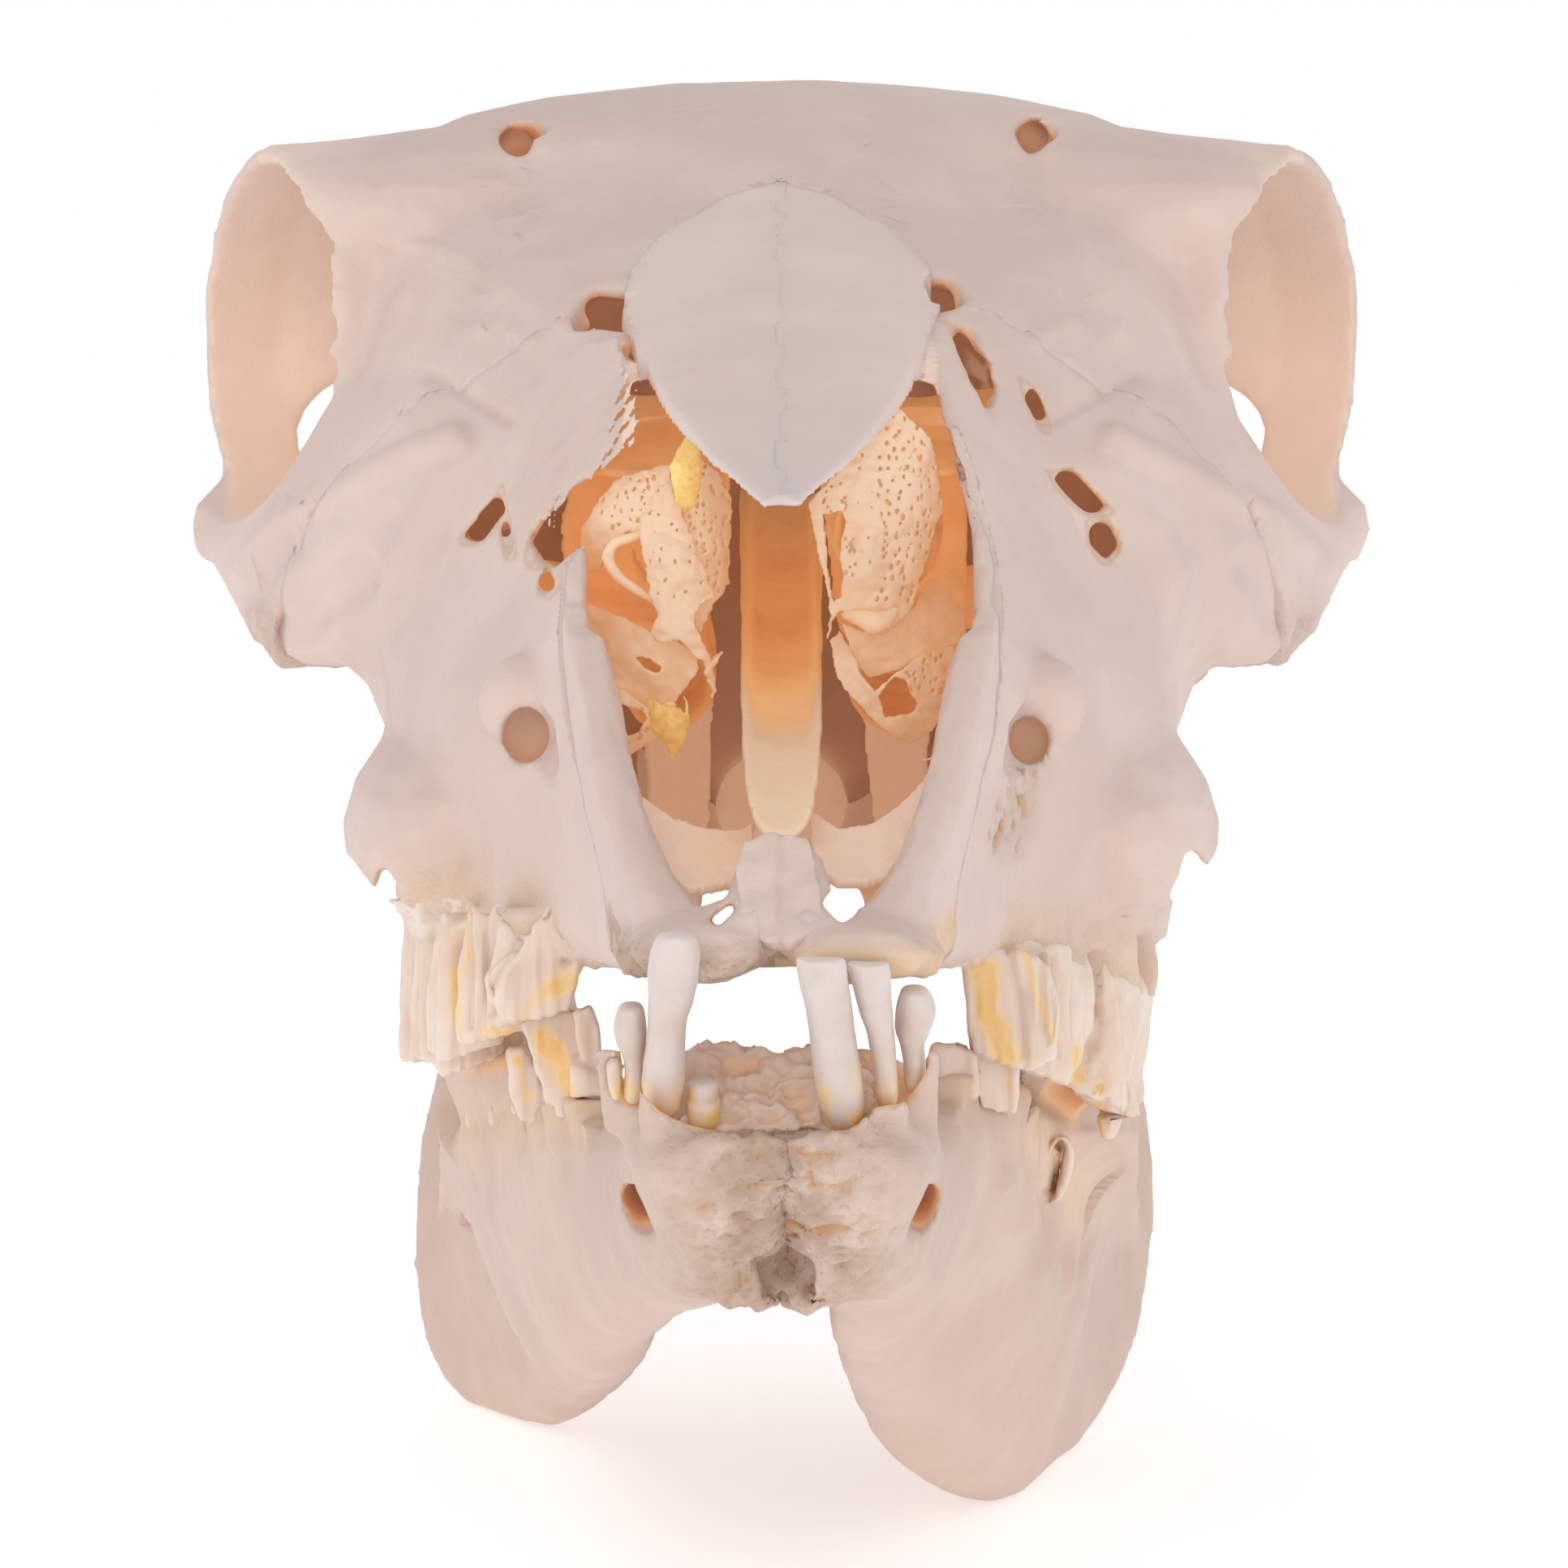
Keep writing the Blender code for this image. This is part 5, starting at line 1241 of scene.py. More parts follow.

# %% [markdown]
# ## Enamel
# A cheek tooth of a sheep is a tall prism of folded enamel. Enamel is whiter and glossier than
# bone, faintly see-through and stained yellow in patches, and a painted shade darkens the folds
# between its columns.

# %% Enamel
def enamel_finish(name, pale, warm, roughness):
    finish = Finish(name, roughness, Subsurface_Weight=0.3, Subsurface_Scale=0.003,
                    Specular_IOR_Level=0.5)
    finish.shader.inputs["Subsurface Radius"].default_value = (1.0, 0.75, 0.55)
    stain = finish.attribute("stain")
    deep = finish.attribute("deep")
    clouds = finish.noise(140, 4, 0.6)
    streaks = finish.noise(420, 3, 0.55)
    colour = finish.mix(finish.step(clouds, 0.35, 0.7), pale, warm)
    patch = finish.step(stain + (clouds - 0.5) * 1.3 + (streaks - 0.5) * 0.7, 0.3, 0.95)
    colour = finish.mix(patch * 0.85, colour, shade(243, 208, 142))
    colour = finish.mix(finish.step(patch + streaks, 1.25, 1.6) * 0.6, colour, shade(236, 184, 104))
    # Painted shade: darker and browner where deep is set.
    colour = finish.mix(finish.step(deep, 0.45, 0.9), colour, shade(214, 158, 112))
    height = streaks * 0.4 + clouds * 0.3
    return finish.wear(colour, roughness + clouds * 0.14, height, 0.00016, 0.5)


ENAMEL = enamel_finish("enamel", shade(231, 213, 200), shade(224, 199, 182), 0.3)
# A cooler copy of enamel for the front teeth, and darker: painted shade against the strong light from the
# floor.
CHISEL_ENAMEL_SHADED = enamel_finish("incisor_enamel_painted_shade", shade(214, 202, 199), shade(207, 189, 176), 0.26)
print("finishes made:", ENAMEL.name + ",", CHISEL_ENAMEL_SHADED.name)

# %% [markdown]
# ## Cheek teeth
# Behind the worn milk teeth stand the tall crowns whose place and length the frame gives. Their
# part of the frame's solid is taken along the sockets' edge, so they fit the bone exactly, and the
# upright pillars and folds of the enamel are pressed into its fine skin.

# %% Crowns from the frame
CROWN_ENDS = {"left": [(450, 1306), (530, 1306), (545, 1326), (575, 1316), (612, 1302), (646, 1290),
                       (646, 1420), (450, 1420)],
              "right": [(1190, 1298), (1263, 1320), (1317, 1338), (1340, 1358), (1364, 1374), (1392, 1362),
                        (1440, 1352), (1440, 1500), (1190, 1500)]}
CROWN_LOW = {"left": ((114, 46.7), (72, 46.7), (64, 44), (20, 40)), "right": ((114, 40), (20, 40))}


def crowns_of(node, side):
    """The part of a jaw's frame mesh beyond its sockets' edge."""
    obj = bone_copy(node, node + "_crowns")
    if "maxilla" in node:
        outline = list(CROWN_LOW[side]) + [(y, z + 1.4) for y, z in UPPER_GUMS[side][1:-1]]
        carve(obj, [side_prism(outline)], "INTERSECT")
        carve(obj, [view_prism(CROWN_ENDS[side], 40, 112)])
        return obj
    gums = LOWER_GUMS[side]
    outline = [(40, 76), (40, gums[3][1])] + [(y, z - 0.35 if z < 70 else z) for y, z in gums[4:-1]]
    carve(obj, [side_prism(outline)], "INTERSECT")
    return obj


def pillars(points, normals, edge, seed):
    """Upright folds: waves along the row, with the sharp clefts of enamel between them."""
    beyond = points[:, 2] - np.interp(points[:, 1], *np.array(edge).T)
    along = points[:, 1] + 0.5 * cloud(points, 6.0, seed)
    wave = np.abs(np.sin(along * np.pi / 4.6))
    small = np.abs(np.sin(along * np.pi / 1.7 + 1.0))
    wall = np.clip(np.abs(normals[:, 0]) * 1.8, 0, 1) * np.clip(np.abs(beyond) / 4, 0, 1)
    wall *= np.clip(1.2 - np.abs(normals[:, 2]) * 1.6, 0, 1)
    return raised(points, normals, wall * (1.1 * wave + 0.35 * small - 0.9))


def join(pieces, name):
    """Joins pieces into the first one and names it."""
    bpy.ops.object.select_all(action="DESELECT")
    for piece in pieces:
        piece.select_set(True)
    bpy.context.view_layer.objects.active = pieces[0]
    bpy.ops.object.join()
    pieces[0].name = name
    return pieces[0]


print("the crowns' lower ends are cut along", len(CROWN_ENDS), "outlines")

# %% [markdown]
# ## The worn milk teeth in front
# The front cheek teeth are milk teeth: worn, broken and leaning, with yellow patches where their
# dentine shows. No two are alike, so each is drawn in the picture: a crown is an outline pushed
# back, a fold of enamel is a column through rows of widths. They are fused by a voxel remesh.

# %% Crowns and columns
def front_tooth(rows, tilt=0.4):
    """A closed skin through rows of (x, y, z, width, thickness); tilt leans its rings forward."""
    line = smooth_rows(rows, 6)
    turn = np.arange(24) * 2 * np.pi / 24
    rings = []
    for x, y, z, width, thick in line:
        across = np.sign(np.cos(turn)) * np.abs(np.cos(turn)) ** 0.8 * width / 2
        deep = np.sin(turn) * thick / 2 + 0.14 * (across / width * 2) ** 2 * width / 2
        rings.append(np.column_stack([x + across, y + deep * 0.92, z + deep * tilt]))
    obj = linked(skin("front_tooth", rings))
    fine = obj.modifiers.new("round", "SUBSURF")
    fine.levels = fine.render_levels = 1
    apply_all(obj)
    face_outwards(obj)
    return obj


def cheek_teeth(name, node, crowns, columns, folds, stained, seed):
    """crowns are (outline, near y, far y); columns are rows of (u, v, y, width, thickness)."""
    side, upper = node.split("_")[1], "maxilla" in node
    pieces = [crowns_of(node, side)]
    pieces += [linked(view_prism(outline, near_y, far_y)) for outline, near_y, far_y in crowns]
    for rows in columns:
        placed = [seen(u, v, y) + (w * (y - CAMERA_Y) / FOCAL, thick) for u, v, y, w, thick in rows]
        pieces.append(front_tooth(placed, 0.0))
    obj = join(pieces, name)
    fine_skin(obj, 0.32, 5)
    deep = enclosed(obj) * 0.3
    points, normals = read_points(obj), read_normals(obj)
    behind = np.clip((points[:, 1] - 56) / 6, 0, 1)[:, None] * (1.0 if upper else 0.35)
    gums = UPPER_GUMS[side][1:-1] if upper else LOWER_GUMS[side][3:-2]
    if upper and side == "right":
        points = flush(points, side)
        over = points[:, 2] - np.interp(points[:, 1], *np.array(gums).T)
        points[:, 0] -= 0.45 * np.clip(over, 0, 1) * (points[:, 1] > 54)
    points = points * (1 - behind) + pillars(points, normals, gums, seed) * behind
    points = relief(points, normals, folds)
    upright = np.column_stack([pictured(points) * (0.16, 0.018), points[:, 1] * 0.16])
    grain = 0.2 * cloud(upright, 1.0, seed) + 0.12 * cloud(points, 1.6, seed + 1)
    points = raised(points, normals, grain)
    write_points(obj, points)
    stain = np.zeros(len(points))
    flat = flat_picture(points)
    for rows, radius in stained:
        stain = np.maximum(stain, drawn(flat, rows, radius * 1.3))
    # Painted shade in the deep folds, on top of the weak share from how enclosed each point is.
    for rows, radius, height in folds:
        if height < -0.5:
            deep = np.maximum(deep, 0.62 * drawn(flat, rows, radius))
    keep(obj, "stain", stain * 0.75 + 0.06 + 0.2 * cloud(points, 3.0, seed + 2))
    keep(obj, "deep", deep)
    return finished(obj, node, ENAMEL)


print("cheek teeth get", ENAMEL.name)

# %% [markdown]
# ## The cheek teeth on the left
# Above, the first crown is a broken block, and three folded columns follow it down to one level.
# Below, two leaning milk teeth show at the front, the first of them with its side face.

# %% Left cheek teeth
LEFT_FOLDS = [
    ([(538, 1110), (533, 1200), (531, 1295)], 8, -0.5), ([(577, 1128), (578, 1200), (579, 1265)], 7, -0.6),
    ([(600, 1110), (600, 1180), (604, 1250)], 7, -0.5), ([(640, 1160), (618, 1195), (603, 1225)], 7, -0.6),
    ([(556, 1134), (574, 1131)], 9, -1.2), ([(616, 1124), (632, 1136), (648, 1146)], 7, -0.9),
    ([(684, 1084), (680, 1110), (672, 1130)], 7, -0.9), ([(553, 1150), (552, 1285)], 16, 0.4),
    ([(622, 1140), (618, 1230)], 14, 0.4), ([(516, 1120), (515, 1290)], 12, 0.4),
    ([(694, 1186), (699, 1189)], 7, -0.8),
]
UPPER_LEFT_CROWN = [(752, 1120), (742, 1165), (716, 1190), (711, 1210), (702, 1246), (660, 1257),
                    (618, 1258), (600, 1228), (597, 1203), (640, 1166), (668, 1128), (690, 1080),
                    (730, 1080)]
LEFT_WEDGE = [(541, 1280), (578, 1262), (600, 1258), (637, 1262), (641, 1288), (610, 1300), (570, 1316),
              (546, 1327)]
UPPER_LEFT_COLUMNS = (
    ((626, 1070, 66, 40, 8), (623, 1120, 65, 48, 8.5), (620, 1200, 65, 47, 8.5), (615, 1264, 65, 44, 7)),
    ((592, 1070, 73, 36, 7), (590, 1150, 73, 38, 7), (589, 1235, 73, 37, 7), (592, 1284, 73, 28, 6)),
    ((556, 1085, 81, 44, 8), (553, 1130, 81, 50, 8.5), (551, 1220, 81, 52, 8.5), (555, 1300, 81, 44, 7)),
    ((524, 1050, 88, 44, 9), (518, 1120, 88, 38, 9), (516, 1220, 88, 37, 9), (515, 1296, 88, 35, 9),
     (516, 1306, 88, 26, 7)),
)
UPPER_LEFT_STAINS = (([(640, 1245), (668, 1225), (700, 1205)], 26), ([(560, 1200), (562, 1265)], 13),
                     ([(600, 1272), (630, 1276)], 14), ([(575, 1130), (577, 1180)], 6))
cheek_teeth("teeth_upper_left", "maxilla_left",
            [(UPPER_LEFT_CROWN, 42.5, 52.5), (LEFT_WEDGE, 76, 88)], UPPER_LEFT_COLUMNS, LEFT_FOLDS,
            UPPER_LEFT_STAINS, 45)

LEFT_FACE = [(704, 1246), (731, 1238), (748, 1320), (762, 1385), (758, 1396), (733, 1392), (716, 1300)]
LEFT_LEANING = [(640, 1258), (662, 1250), (701, 1242), (716, 1300), (731, 1372), (728, 1380), (686, 1378),
                (662, 1320)]
LEFT_SECOND = [(624, 1290), (648, 1290), (668, 1330), (684, 1372), (676, 1386), (640, 1380), (630, 1350)]
LOWER_LEFT_STAINS = (([(668, 1275), (690, 1310), (706, 1352)], 20), ([(636, 1305), (650, 1350)], 14))
cheek_teeth("teeth_lower_left", "mandible_left",
            [(LEFT_FACE, 43.5, 47.5), (LEFT_LEANING, 47, 55), (LEFT_SECOND, 57, 65)], (), (),
            LOWER_LEFT_STAINS, 47)

# %% [markdown]
# ## The cheek teeth on the right
# Above, a broad stained crown stands in front and thin blades hang behind it. Below, two low crowns
# show, and in the jaw's slit the two curved edges of the tooth that was still growing.

# %% Right cheek teeth
RIGHT_FOLDS = [([(u, 1180), (u + 2, 1260), (u + 8, low)], 6, -0.5)
               for u, low in ((1284, 1285), (1298, 1300), (1324, 1330), (1338, 1345), (1352, 1360))]
RIGHT_FOLDS += [([(1242, 1170), (1254, 1230), (1262, 1300)], 7, -0.4),
                ([(1346, 1236), (1352, 1262)], 6, -0.9)]
UPPER_RIGHT_CROWN = [(1176, 1168), (1182, 1180), (1187, 1202), (1194, 1274), (1202, 1297), (1232, 1310),
                     (1258, 1319), (1262, 1298), (1267, 1317), (1278, 1313), (1302, 1304), (1306, 1240),
                     (1290, 1190), (1262, 1172)]
UPPER_RIGHT_COLUMNS = (
    ((1304, 1150, 58, 24, 6), (1310, 1230, 58, 26, 6), (1314, 1310, 58, 20, 5), (1317, 1334, 58, 9, 3)),
    ((1330, 1150, 64, 26, 6), (1338, 1250, 64, 28, 6), (1345, 1340, 64, 22, 5), (1349, 1372, 64, 9, 3)),
    ((1368, 1190, 73, 30, 8), (1374, 1240, 72, 44, 8), (1375, 1270, 72, 44, 8), (1370, 1330, 74, 30, 7),
     (1368, 1372, 76, 20, 6), (1367, 1404, 77, 9, 4)),
    ((1398, 1170, 84, 34, 8), (1396, 1240, 84, 32, 8), (1391, 1310, 84, 28, 8), (1386, 1358, 84, 18, 6)),
)
UPPER_RIGHT_STAINS = (([(1212, 1195), (1222, 1250), (1240, 1300)], 30),
                      ([(1262, 1175), (1280, 1230), (1300, 1285)], 10),
                      ([(1322, 1290), (1330, 1330)], 12), ([(1355, 1340), (1352, 1400)], 12))
cheek_teeth("teeth_upper_right", "maxilla_right", [(UPPER_RIGHT_CROWN, 42.5, 52.5)],
            UPPER_RIGHT_COLUMNS, RIGHT_FOLDS, UPPER_RIGHT_STAINS, 49)

RIGHT_FIRST = [(1144, 1298), (1150, 1286), (1176, 1286), (1203, 1295), (1206, 1330), (1204, 1352),
               (1150, 1356)]
RIGHT_SECOND = [(1204, 1294), (1222, 1299), (1224, 1318), (1228, 1301), (1256, 1313), (1255, 1350),
                (1250, 1372), (1206, 1366)]
CRYPT_RIDGE = ((1292, 1484, 80, 8, 2), (1306, 1468, 80, 13, 3), (1316, 1440, 80, 14, 3),
               (1318, 1412, 78.5, 12, 3), (1309, 1398, 77, 9, 2))
CRYPT_EDGE = ((1281, 1462, 77, 6, 2), (1284, 1440, 76, 7, 2), (1292, 1418, 75.5, 8, 2),
              (1304, 1400, 76, 8, 2))
LOWER_RIGHT_STAINS = (([(1150, 1338), (1200, 1340)], 6), ([(1240, 1320), (1246, 1340)], 10))
cheek_teeth("teeth_lower_right", "mandible_right", [(RIGHT_FIRST, 43, 48), (RIGHT_SECOND, 48, 56)],
            (CRYPT_RIDGE, CRYPT_EDGE), (), LOWER_RIGHT_STAINS, 51)

# %% [markdown]
# ## Front teeth
# Only the lower jaw has front teeth. Each is a small spade: a flattened crown with a thin edge, a
# narrow neck and a blunt root that shows in its open socket.

# %% Front teeth
for node, teeth in INCISORS.items():
    name = node.replace("mandible", "incisors")
    obj = join([front_tooth(from_picture(tooth)) for tooth in teeth], name)
    points, normals = read_points(obj), read_normals(obj)
    points = raised(points, normals, 0.06 * cloud(points, 1.5, 41))
    write_points(obj, points)
    # The yellow rises towards the root and on the flanks that face sideways, and the colour darkens towards
    # the bottom.
    sides = 0.3 * np.abs(normals[:, 0]) * np.clip((66 - points[:, 2]) / 8, 0, 1)
    keep(obj, "stain", np.clip((60.5 - points[:, 2]) / 8, 0, 0.85) + sides)
    keep(obj, "deep", np.clip((54.5 - points[:, 2]) / 6, 0, 0.6))
    finished(obj, node, CHISEL_ENAMEL_SHADED)
    print(name, "has", len(teeth), "teeth")

# %% [markdown]
# ## The inside of the nose
# A plain, slightly hollow strip of bone, the vomer, stands in the middle of the nose. It could be
# a bent plate; rings of points follow its dished top and its keel, so both stay one closed skin.

# %% Vomer
VOMER_LINE = ((23.0, 75.8, 0.3), (23.4, 76.0, 1.3), (24.2, 76.3, 2.0), (26, 76.8, 2.5), (30, 77.8, 2.9),
              (38, 79.8, 3.3), (50, 83.0, 3.6), (64, 87.4, 3.7), (78, 92.0, 3.8), (92, 96.2, 4.0),
              (103, 99.0, 4.1))
VOMER_DISH = ((-1.0, 0.1), (-0.96, 0.42), (-0.86, 0.34), (-0.6, 0.13), (-0.3, 0.03), (0, 0), (0.3, 0.03),
              (0.6, 0.13), (0.86, 0.34), (0.96, 0.42), (1.0, 0.1))
VOMER_UNDER = ((0.9, -0.1), (0.55, -0.3), (0.16, -0.42), (0.09, -1.2), (0, -1.5), (-0.09, -1.2),
               (-0.16, -0.42), (-0.55, -0.3), (-0.9, -0.1))


def vomer_rings():
    rings = []
    for y, z, half in smooth_rows(VOMER_LINE, 6):
        ring = [(a * half, y + (0.5 if b > 0.2 else 0), z + b * half * 0.8) for a, b in VOMER_DISH]
        keel = min(1.0, max(0.0, (y - 32) / 12))
        under = [(a, b if b > -0.42 else -0.42 + (b + 0.42) * keel) for a, b in VOMER_UNDER]
        tall = 3.0 * min(1.0, max(0.4, half / 1.8))
        rings.append(ring + [(a * half, y, z + b * tall) for a, b in under])
    return rings


vomer = linked(skin("vomer_bone", vomer_rings()))
face_outwards(vomer)
fine_skin(vomer, 0.3, 3)
points, normals = read_points(vomer), read_normals(vomer)
points = raised(points, normals, 0.1 * cloud(points, 4.0, 51) + 0.03 * cloud(points, 1.2, 52))
write_points(vomer, points)
# Painted shade: the vomer darkens to orange further back and stays paler at its side rims; a faint painted
# glow.
orange = np.clip((points[:, 1] - 38) / 22, 0, 1)
pale_rims = np.clip(np.abs(points[:, 0]) - 2.4, 0, 1)
keep(vomer, "deep", 0.14 + 0.68 * orange**0.8 - 0.26 * pale_rims + 0.03 * cloud(points, 7, 53))
keep(vomer, "lit", 0.22 - 0.12 * orange)
finished(vomer, "vomer", INNER_GLOWING)

# %% [markdown]
# ## Dried tissue
# A few shreds of dried yellow tissue hang in the nose. They are glossier and more see-through
# than bone, and give a faint painted glow, an emission of their own colour.

# %% Tissue
def tissue_finish():
    finish = Finish("dried_tissue", 0.36, Subsurface_Weight=0.4, Subsurface_Scale=0.002,
                    Emission_Strength=0.15)
    streaks = finish.noise(700, 4, 0.6)
    pale, amber = shade(242, 214, 138), shade(230, 184, 100)
    colour = finish.mix(finish.step(streaks, 0.35, 0.7), pale, amber)
    # The colour is also the emission: a painted glow.
    return finish.wear(colour, 0.3 + streaks * 0.2, streaks, 0.0002, 0.6, colour)


TISSUE = tissue_finish()
print("finish made:", TISSUE.name)

# %% [markdown]
# ## Lacework sheets
# The scrolls that hang beside the vomer are bone as thin as paper, riddled with pores and broken
# at their edges. Each sheet is drawn as an outline in the picture and filled with small squares;
# squares outside the torn outline, in a hole or in a pore are left out. The rest is smoothed,
# bent to its depth and given its thickness by Solidify.

# %% Sheet tool
PORE_LEAN = 0.3


def inside(points, outline):
    """True for the points inside a closed outline of picture points."""
    found = np.zeros(len(points), bool)
    u, v = points.T
    for (u0, v0), (u1, v1) in zip(outline, outline[1:] + outline[:1]):
        if v0 != v1:
            found ^= ((v0 > v) != (v1 > v)) & (u < (u1 - u0) * (v - v0) / (v1 - v0) + u0)
    return found


def pore_field(points, area, spacing, size, chance):
    """True in small leaning ovals spread over an area (u0, v0, u1, v1)."""
    found = np.zeros(len(points), bool)
    u0, v0, u1, v1 = area
    for u in np.arange(u0, u1, spacing):
        for v in np.arange(v0, v1, spacing * 1.15):
            if chance.random() < 0.82:
                cu = u + chance.uniform(-0.5, 0.5) * spacing
                cv = v + chance.uniform(-0.5, 0.5) * spacing
                narrow = chance.uniform(0.5, 0.85) * size
                tall = chance.uniform(1.0, 2.4) * size
                lean = PORE_LEAN + chance.uniform(-0.4, 0.4)
                du, dv = points[:, 0] - cu, points[:, 1] - cv
                a = du * math.cos(lean) + dv * math.sin(lean)
                b = dv * math.cos(lean) - du * math.sin(lean)
                found |= (a / narrow) ** 2 + (b / tall) ** 2 < 1
    return found


def sheet(name, outline, depth, holes=(), pores=(), torn=2.0, thick=0.38, step=1.9, seed=0,
          bow=(0, 0), stain=0.0, deep=0.1):
    """One sheet; depth is (nearest y, how much it falls back at its rim), bow leans it in u and v."""
    chance = random.Random(seed)
    outline = [tuple(map(float, p)) for p in outline]
    corners = np.array(outline)
    low, high = corners.min(axis=0) - 6, corners.max(axis=0) + 6
    across, down = np.arange(low[0], high[0], step), np.arange(low[1], high[1], step)
    cu, cv = np.meshgrid(across[:-1] + step / 2, down[:-1] + step / 2)
    cells = np.column_stack([cu.ravel(), cv.ravel()])
    flat = np.column_stack([cells, np.zeros(len(cells))])
    wobble = np.column_stack([cloud(flat, 9.0, seed + 1) + 0.6 * cloud(flat, 4.0, seed + 2),
                              cloud(flat, 9.0, seed + 3) + 0.6 * cloud(flat, 4.0, seed + 4)]) * torn
    kept = inside(cells + wobble, outline)
    for hole in holes:
        kept &= ~inside(cells + wobble * 0.7, [tuple(map(float, p)) for p in hole])
    for area, spacing, size in pores:
        kept &= ~pore_field(cells, area, spacing, size, chance)
    wide = len(across)
    faces = []
    for index in np.flatnonzero(kept):
        r, c = divmod(int(index), wide - 1)
        first, under = r * wide + c, (r + 1) * wide + c
        faces.append((first, under, under + 1, first + 1))
    middle, half = (low + high) / 2, (high - low) / 2
    grid = [(u, v, 0) for v in down for u in across]
    obj = linked(mesh_object(name, grid, faces))
    only(obj)
    bpy.ops.object.mode_set(mode="EDIT")
    bpy.ops.mesh.select_all(action="SELECT")
    bpy.ops.mesh.delete_loose(use_verts=True, use_edges=True, use_faces=False)
    bpy.ops.mesh.select_all(action="SELECT")
    bpy.ops.mesh.vertices_smooth(factor=0.5, repeat=3)
    bpy.ops.object.mode_set(mode="OBJECT")
    uv = np.array([v.co for v in obj.data.vertices])
    r = (uv[:, :2] - middle) / half
    folds = 0.5 * cloud(uv, 26.0, seed + 5) + 0.22 * cloud(uv, 9.0, seed + 6)
    y = depth[0] + depth[1] * (r**2).sum(axis=1) + bow[0] * r[:, 0] + bow[1] * r[:, 1] + folds
    for vert, (u, v, _), back in zip(obj.data.vertices, uv, y):
        vert.co = at(*seen(u, v, back))
    wall = obj.modifiers.new("wall", "SOLIDIFY")
    wall.thickness, wall.offset = thick * MM, 0
    relax = obj.modifiers.new("relax", "SMOOTH")
    relax.iterations = 2
    apply_all(obj)
    face_outwards(obj)
    points = read_points(obj)
    # Painted shade that grows further back, and a faint painted glow.
    keep(obj, "deep", deep + (points[:, 1] - depth[0]) / 22 + 0.12 * cloud(points, 2.0, seed + 7))
    keep(obj, "stain", stain)
    keep(obj, "lit", 0.3)
    print(name, "has", len(obj.data.polygons), "faces")
    return obj


def backed(name, outline, depth, **more):
    """A porous sheet with a whole one close behind it, so its pores are shallow."""
    front = sheet(name, outline, depth, **more)
    more = {key: more[key] for key in more if key not in ("pores", "deep", "torn", "thick")}
    shrunk = np.array(outline, float)
    shrunk = shrunk.mean(axis=0) + (shrunk - shrunk.mean(axis=0)) * 0.97
    further = (depth[0] + 0.42, depth[1])
    # The sheet behind carries a painted shade that shows tan through the pores.
    behind = sheet(name + "_behind", shrunk.tolist(), further, torn=1.0, thick=0.2, deep=0.42, **more)
    return join([front, behind], name)


def strand(name, rows, flat=1.0, deep=0.15):
    """A rolled edge or a thread through rows of (u, v, y, radius in mm)."""
    obj = linked(bar([seen(u, v, y) + (radius,) for u, v, y, radius in rows], flat, 12, 6))
    points, normals = read_points(obj), read_normals(obj)
    points = raised(points, normals, 0.07 * cloud(points, 0.9, 61))
    write_points(obj, points)
    # A painted shade and a faint painted glow.
    keep(obj, "deep", deep + 0.1 * cloud(points, 1.5, 62))
    keep(obj, "lit", 0.35)
    obj.name = name
    return obj


# %% [markdown]
# ## The scrolls on the left
# On this side the upper scroll has torn: a white flap hangs from it over a porous wall, with a
# rolled band round an opening beside it. The lower scroll is smoother and ends in a small ring.

# %% Left scrolls
FLAP = ((788, 632), (808, 607), (826, 593), (840, 629), (854, 668), (872, 711), (877, 736), (858, 754),
        (856, 768), (868, 796), (877, 814), (890, 802), (880, 824), (880, 866), (872, 839), (866, 816),
        (852, 806), (836, 790), (811, 790), (802, 782), (810, 757), (804, 743), (797, 714), (791, 664))
FLAP_BACK = ((856, 560), (885, 584), (901, 611), (899, 664), (897, 721), (880, 743), (862, 780), (850, 760),
             (846, 700), (836, 640), (840, 590))
OUTER_SCROLL = ((716, 650), (740, 612), (761, 589), (801, 577), (830, 570), (846, 600), (830, 640),
                (800, 668), (768, 660), (750, 672), (742, 700), (716, 712))
INNER_FUNNEL = ((756, 664), (800, 656), (812, 700), (806, 742), (778, 722), (758, 700))
YELLOW_TUFT = ((846, 534), (862, 550), (864, 585), (856, 622), (844, 632), (832, 616), (826, 575))
LOWER_LEAF = ((712, 738), (740, 750), (772, 762), (804, 780), (834, 790), (858, 806), (862, 824),
              (846, 848), (829, 868), (798, 878), (764, 852), (738, 834), (712, 824))
LOWER_RING = ((736, 834), (768, 850), (800, 872), (830, 862), (848, 884), (838, 912), (811, 908),
              (776, 931), (751, 918), (740, 884))
YELLOW_TIP = ((800, 862), (826, 870), (849, 882), (846, 908), (829, 940), (820, 914), (802, 896))

ROLLED_BAND = ((806, 652, 58.6, 0.3), (780, 662, 58.0, 0.5), (756, 671, 57.6, 0.6), (750, 692, 57.4, 0.62),
               (764, 712, 57.2, 0.6), (786, 728, 57.0, 0.55), (810, 742, 57.0, 0.4))
LEAF_HOLES = (((784, 810), (800, 812), (814, 822), (812, 830), (795, 824)),
              ((738, 796), (749, 800), (748, 810), (738, 806)))
RING_HOLE = ((758, 866), (790, 876), (797, 884), (786, 902), (768, 907))
FIBRE = ((842, 858, 57, 0.09), (846, 866, 56.6, 0.08), (846, 884, 56.4, 0.09))

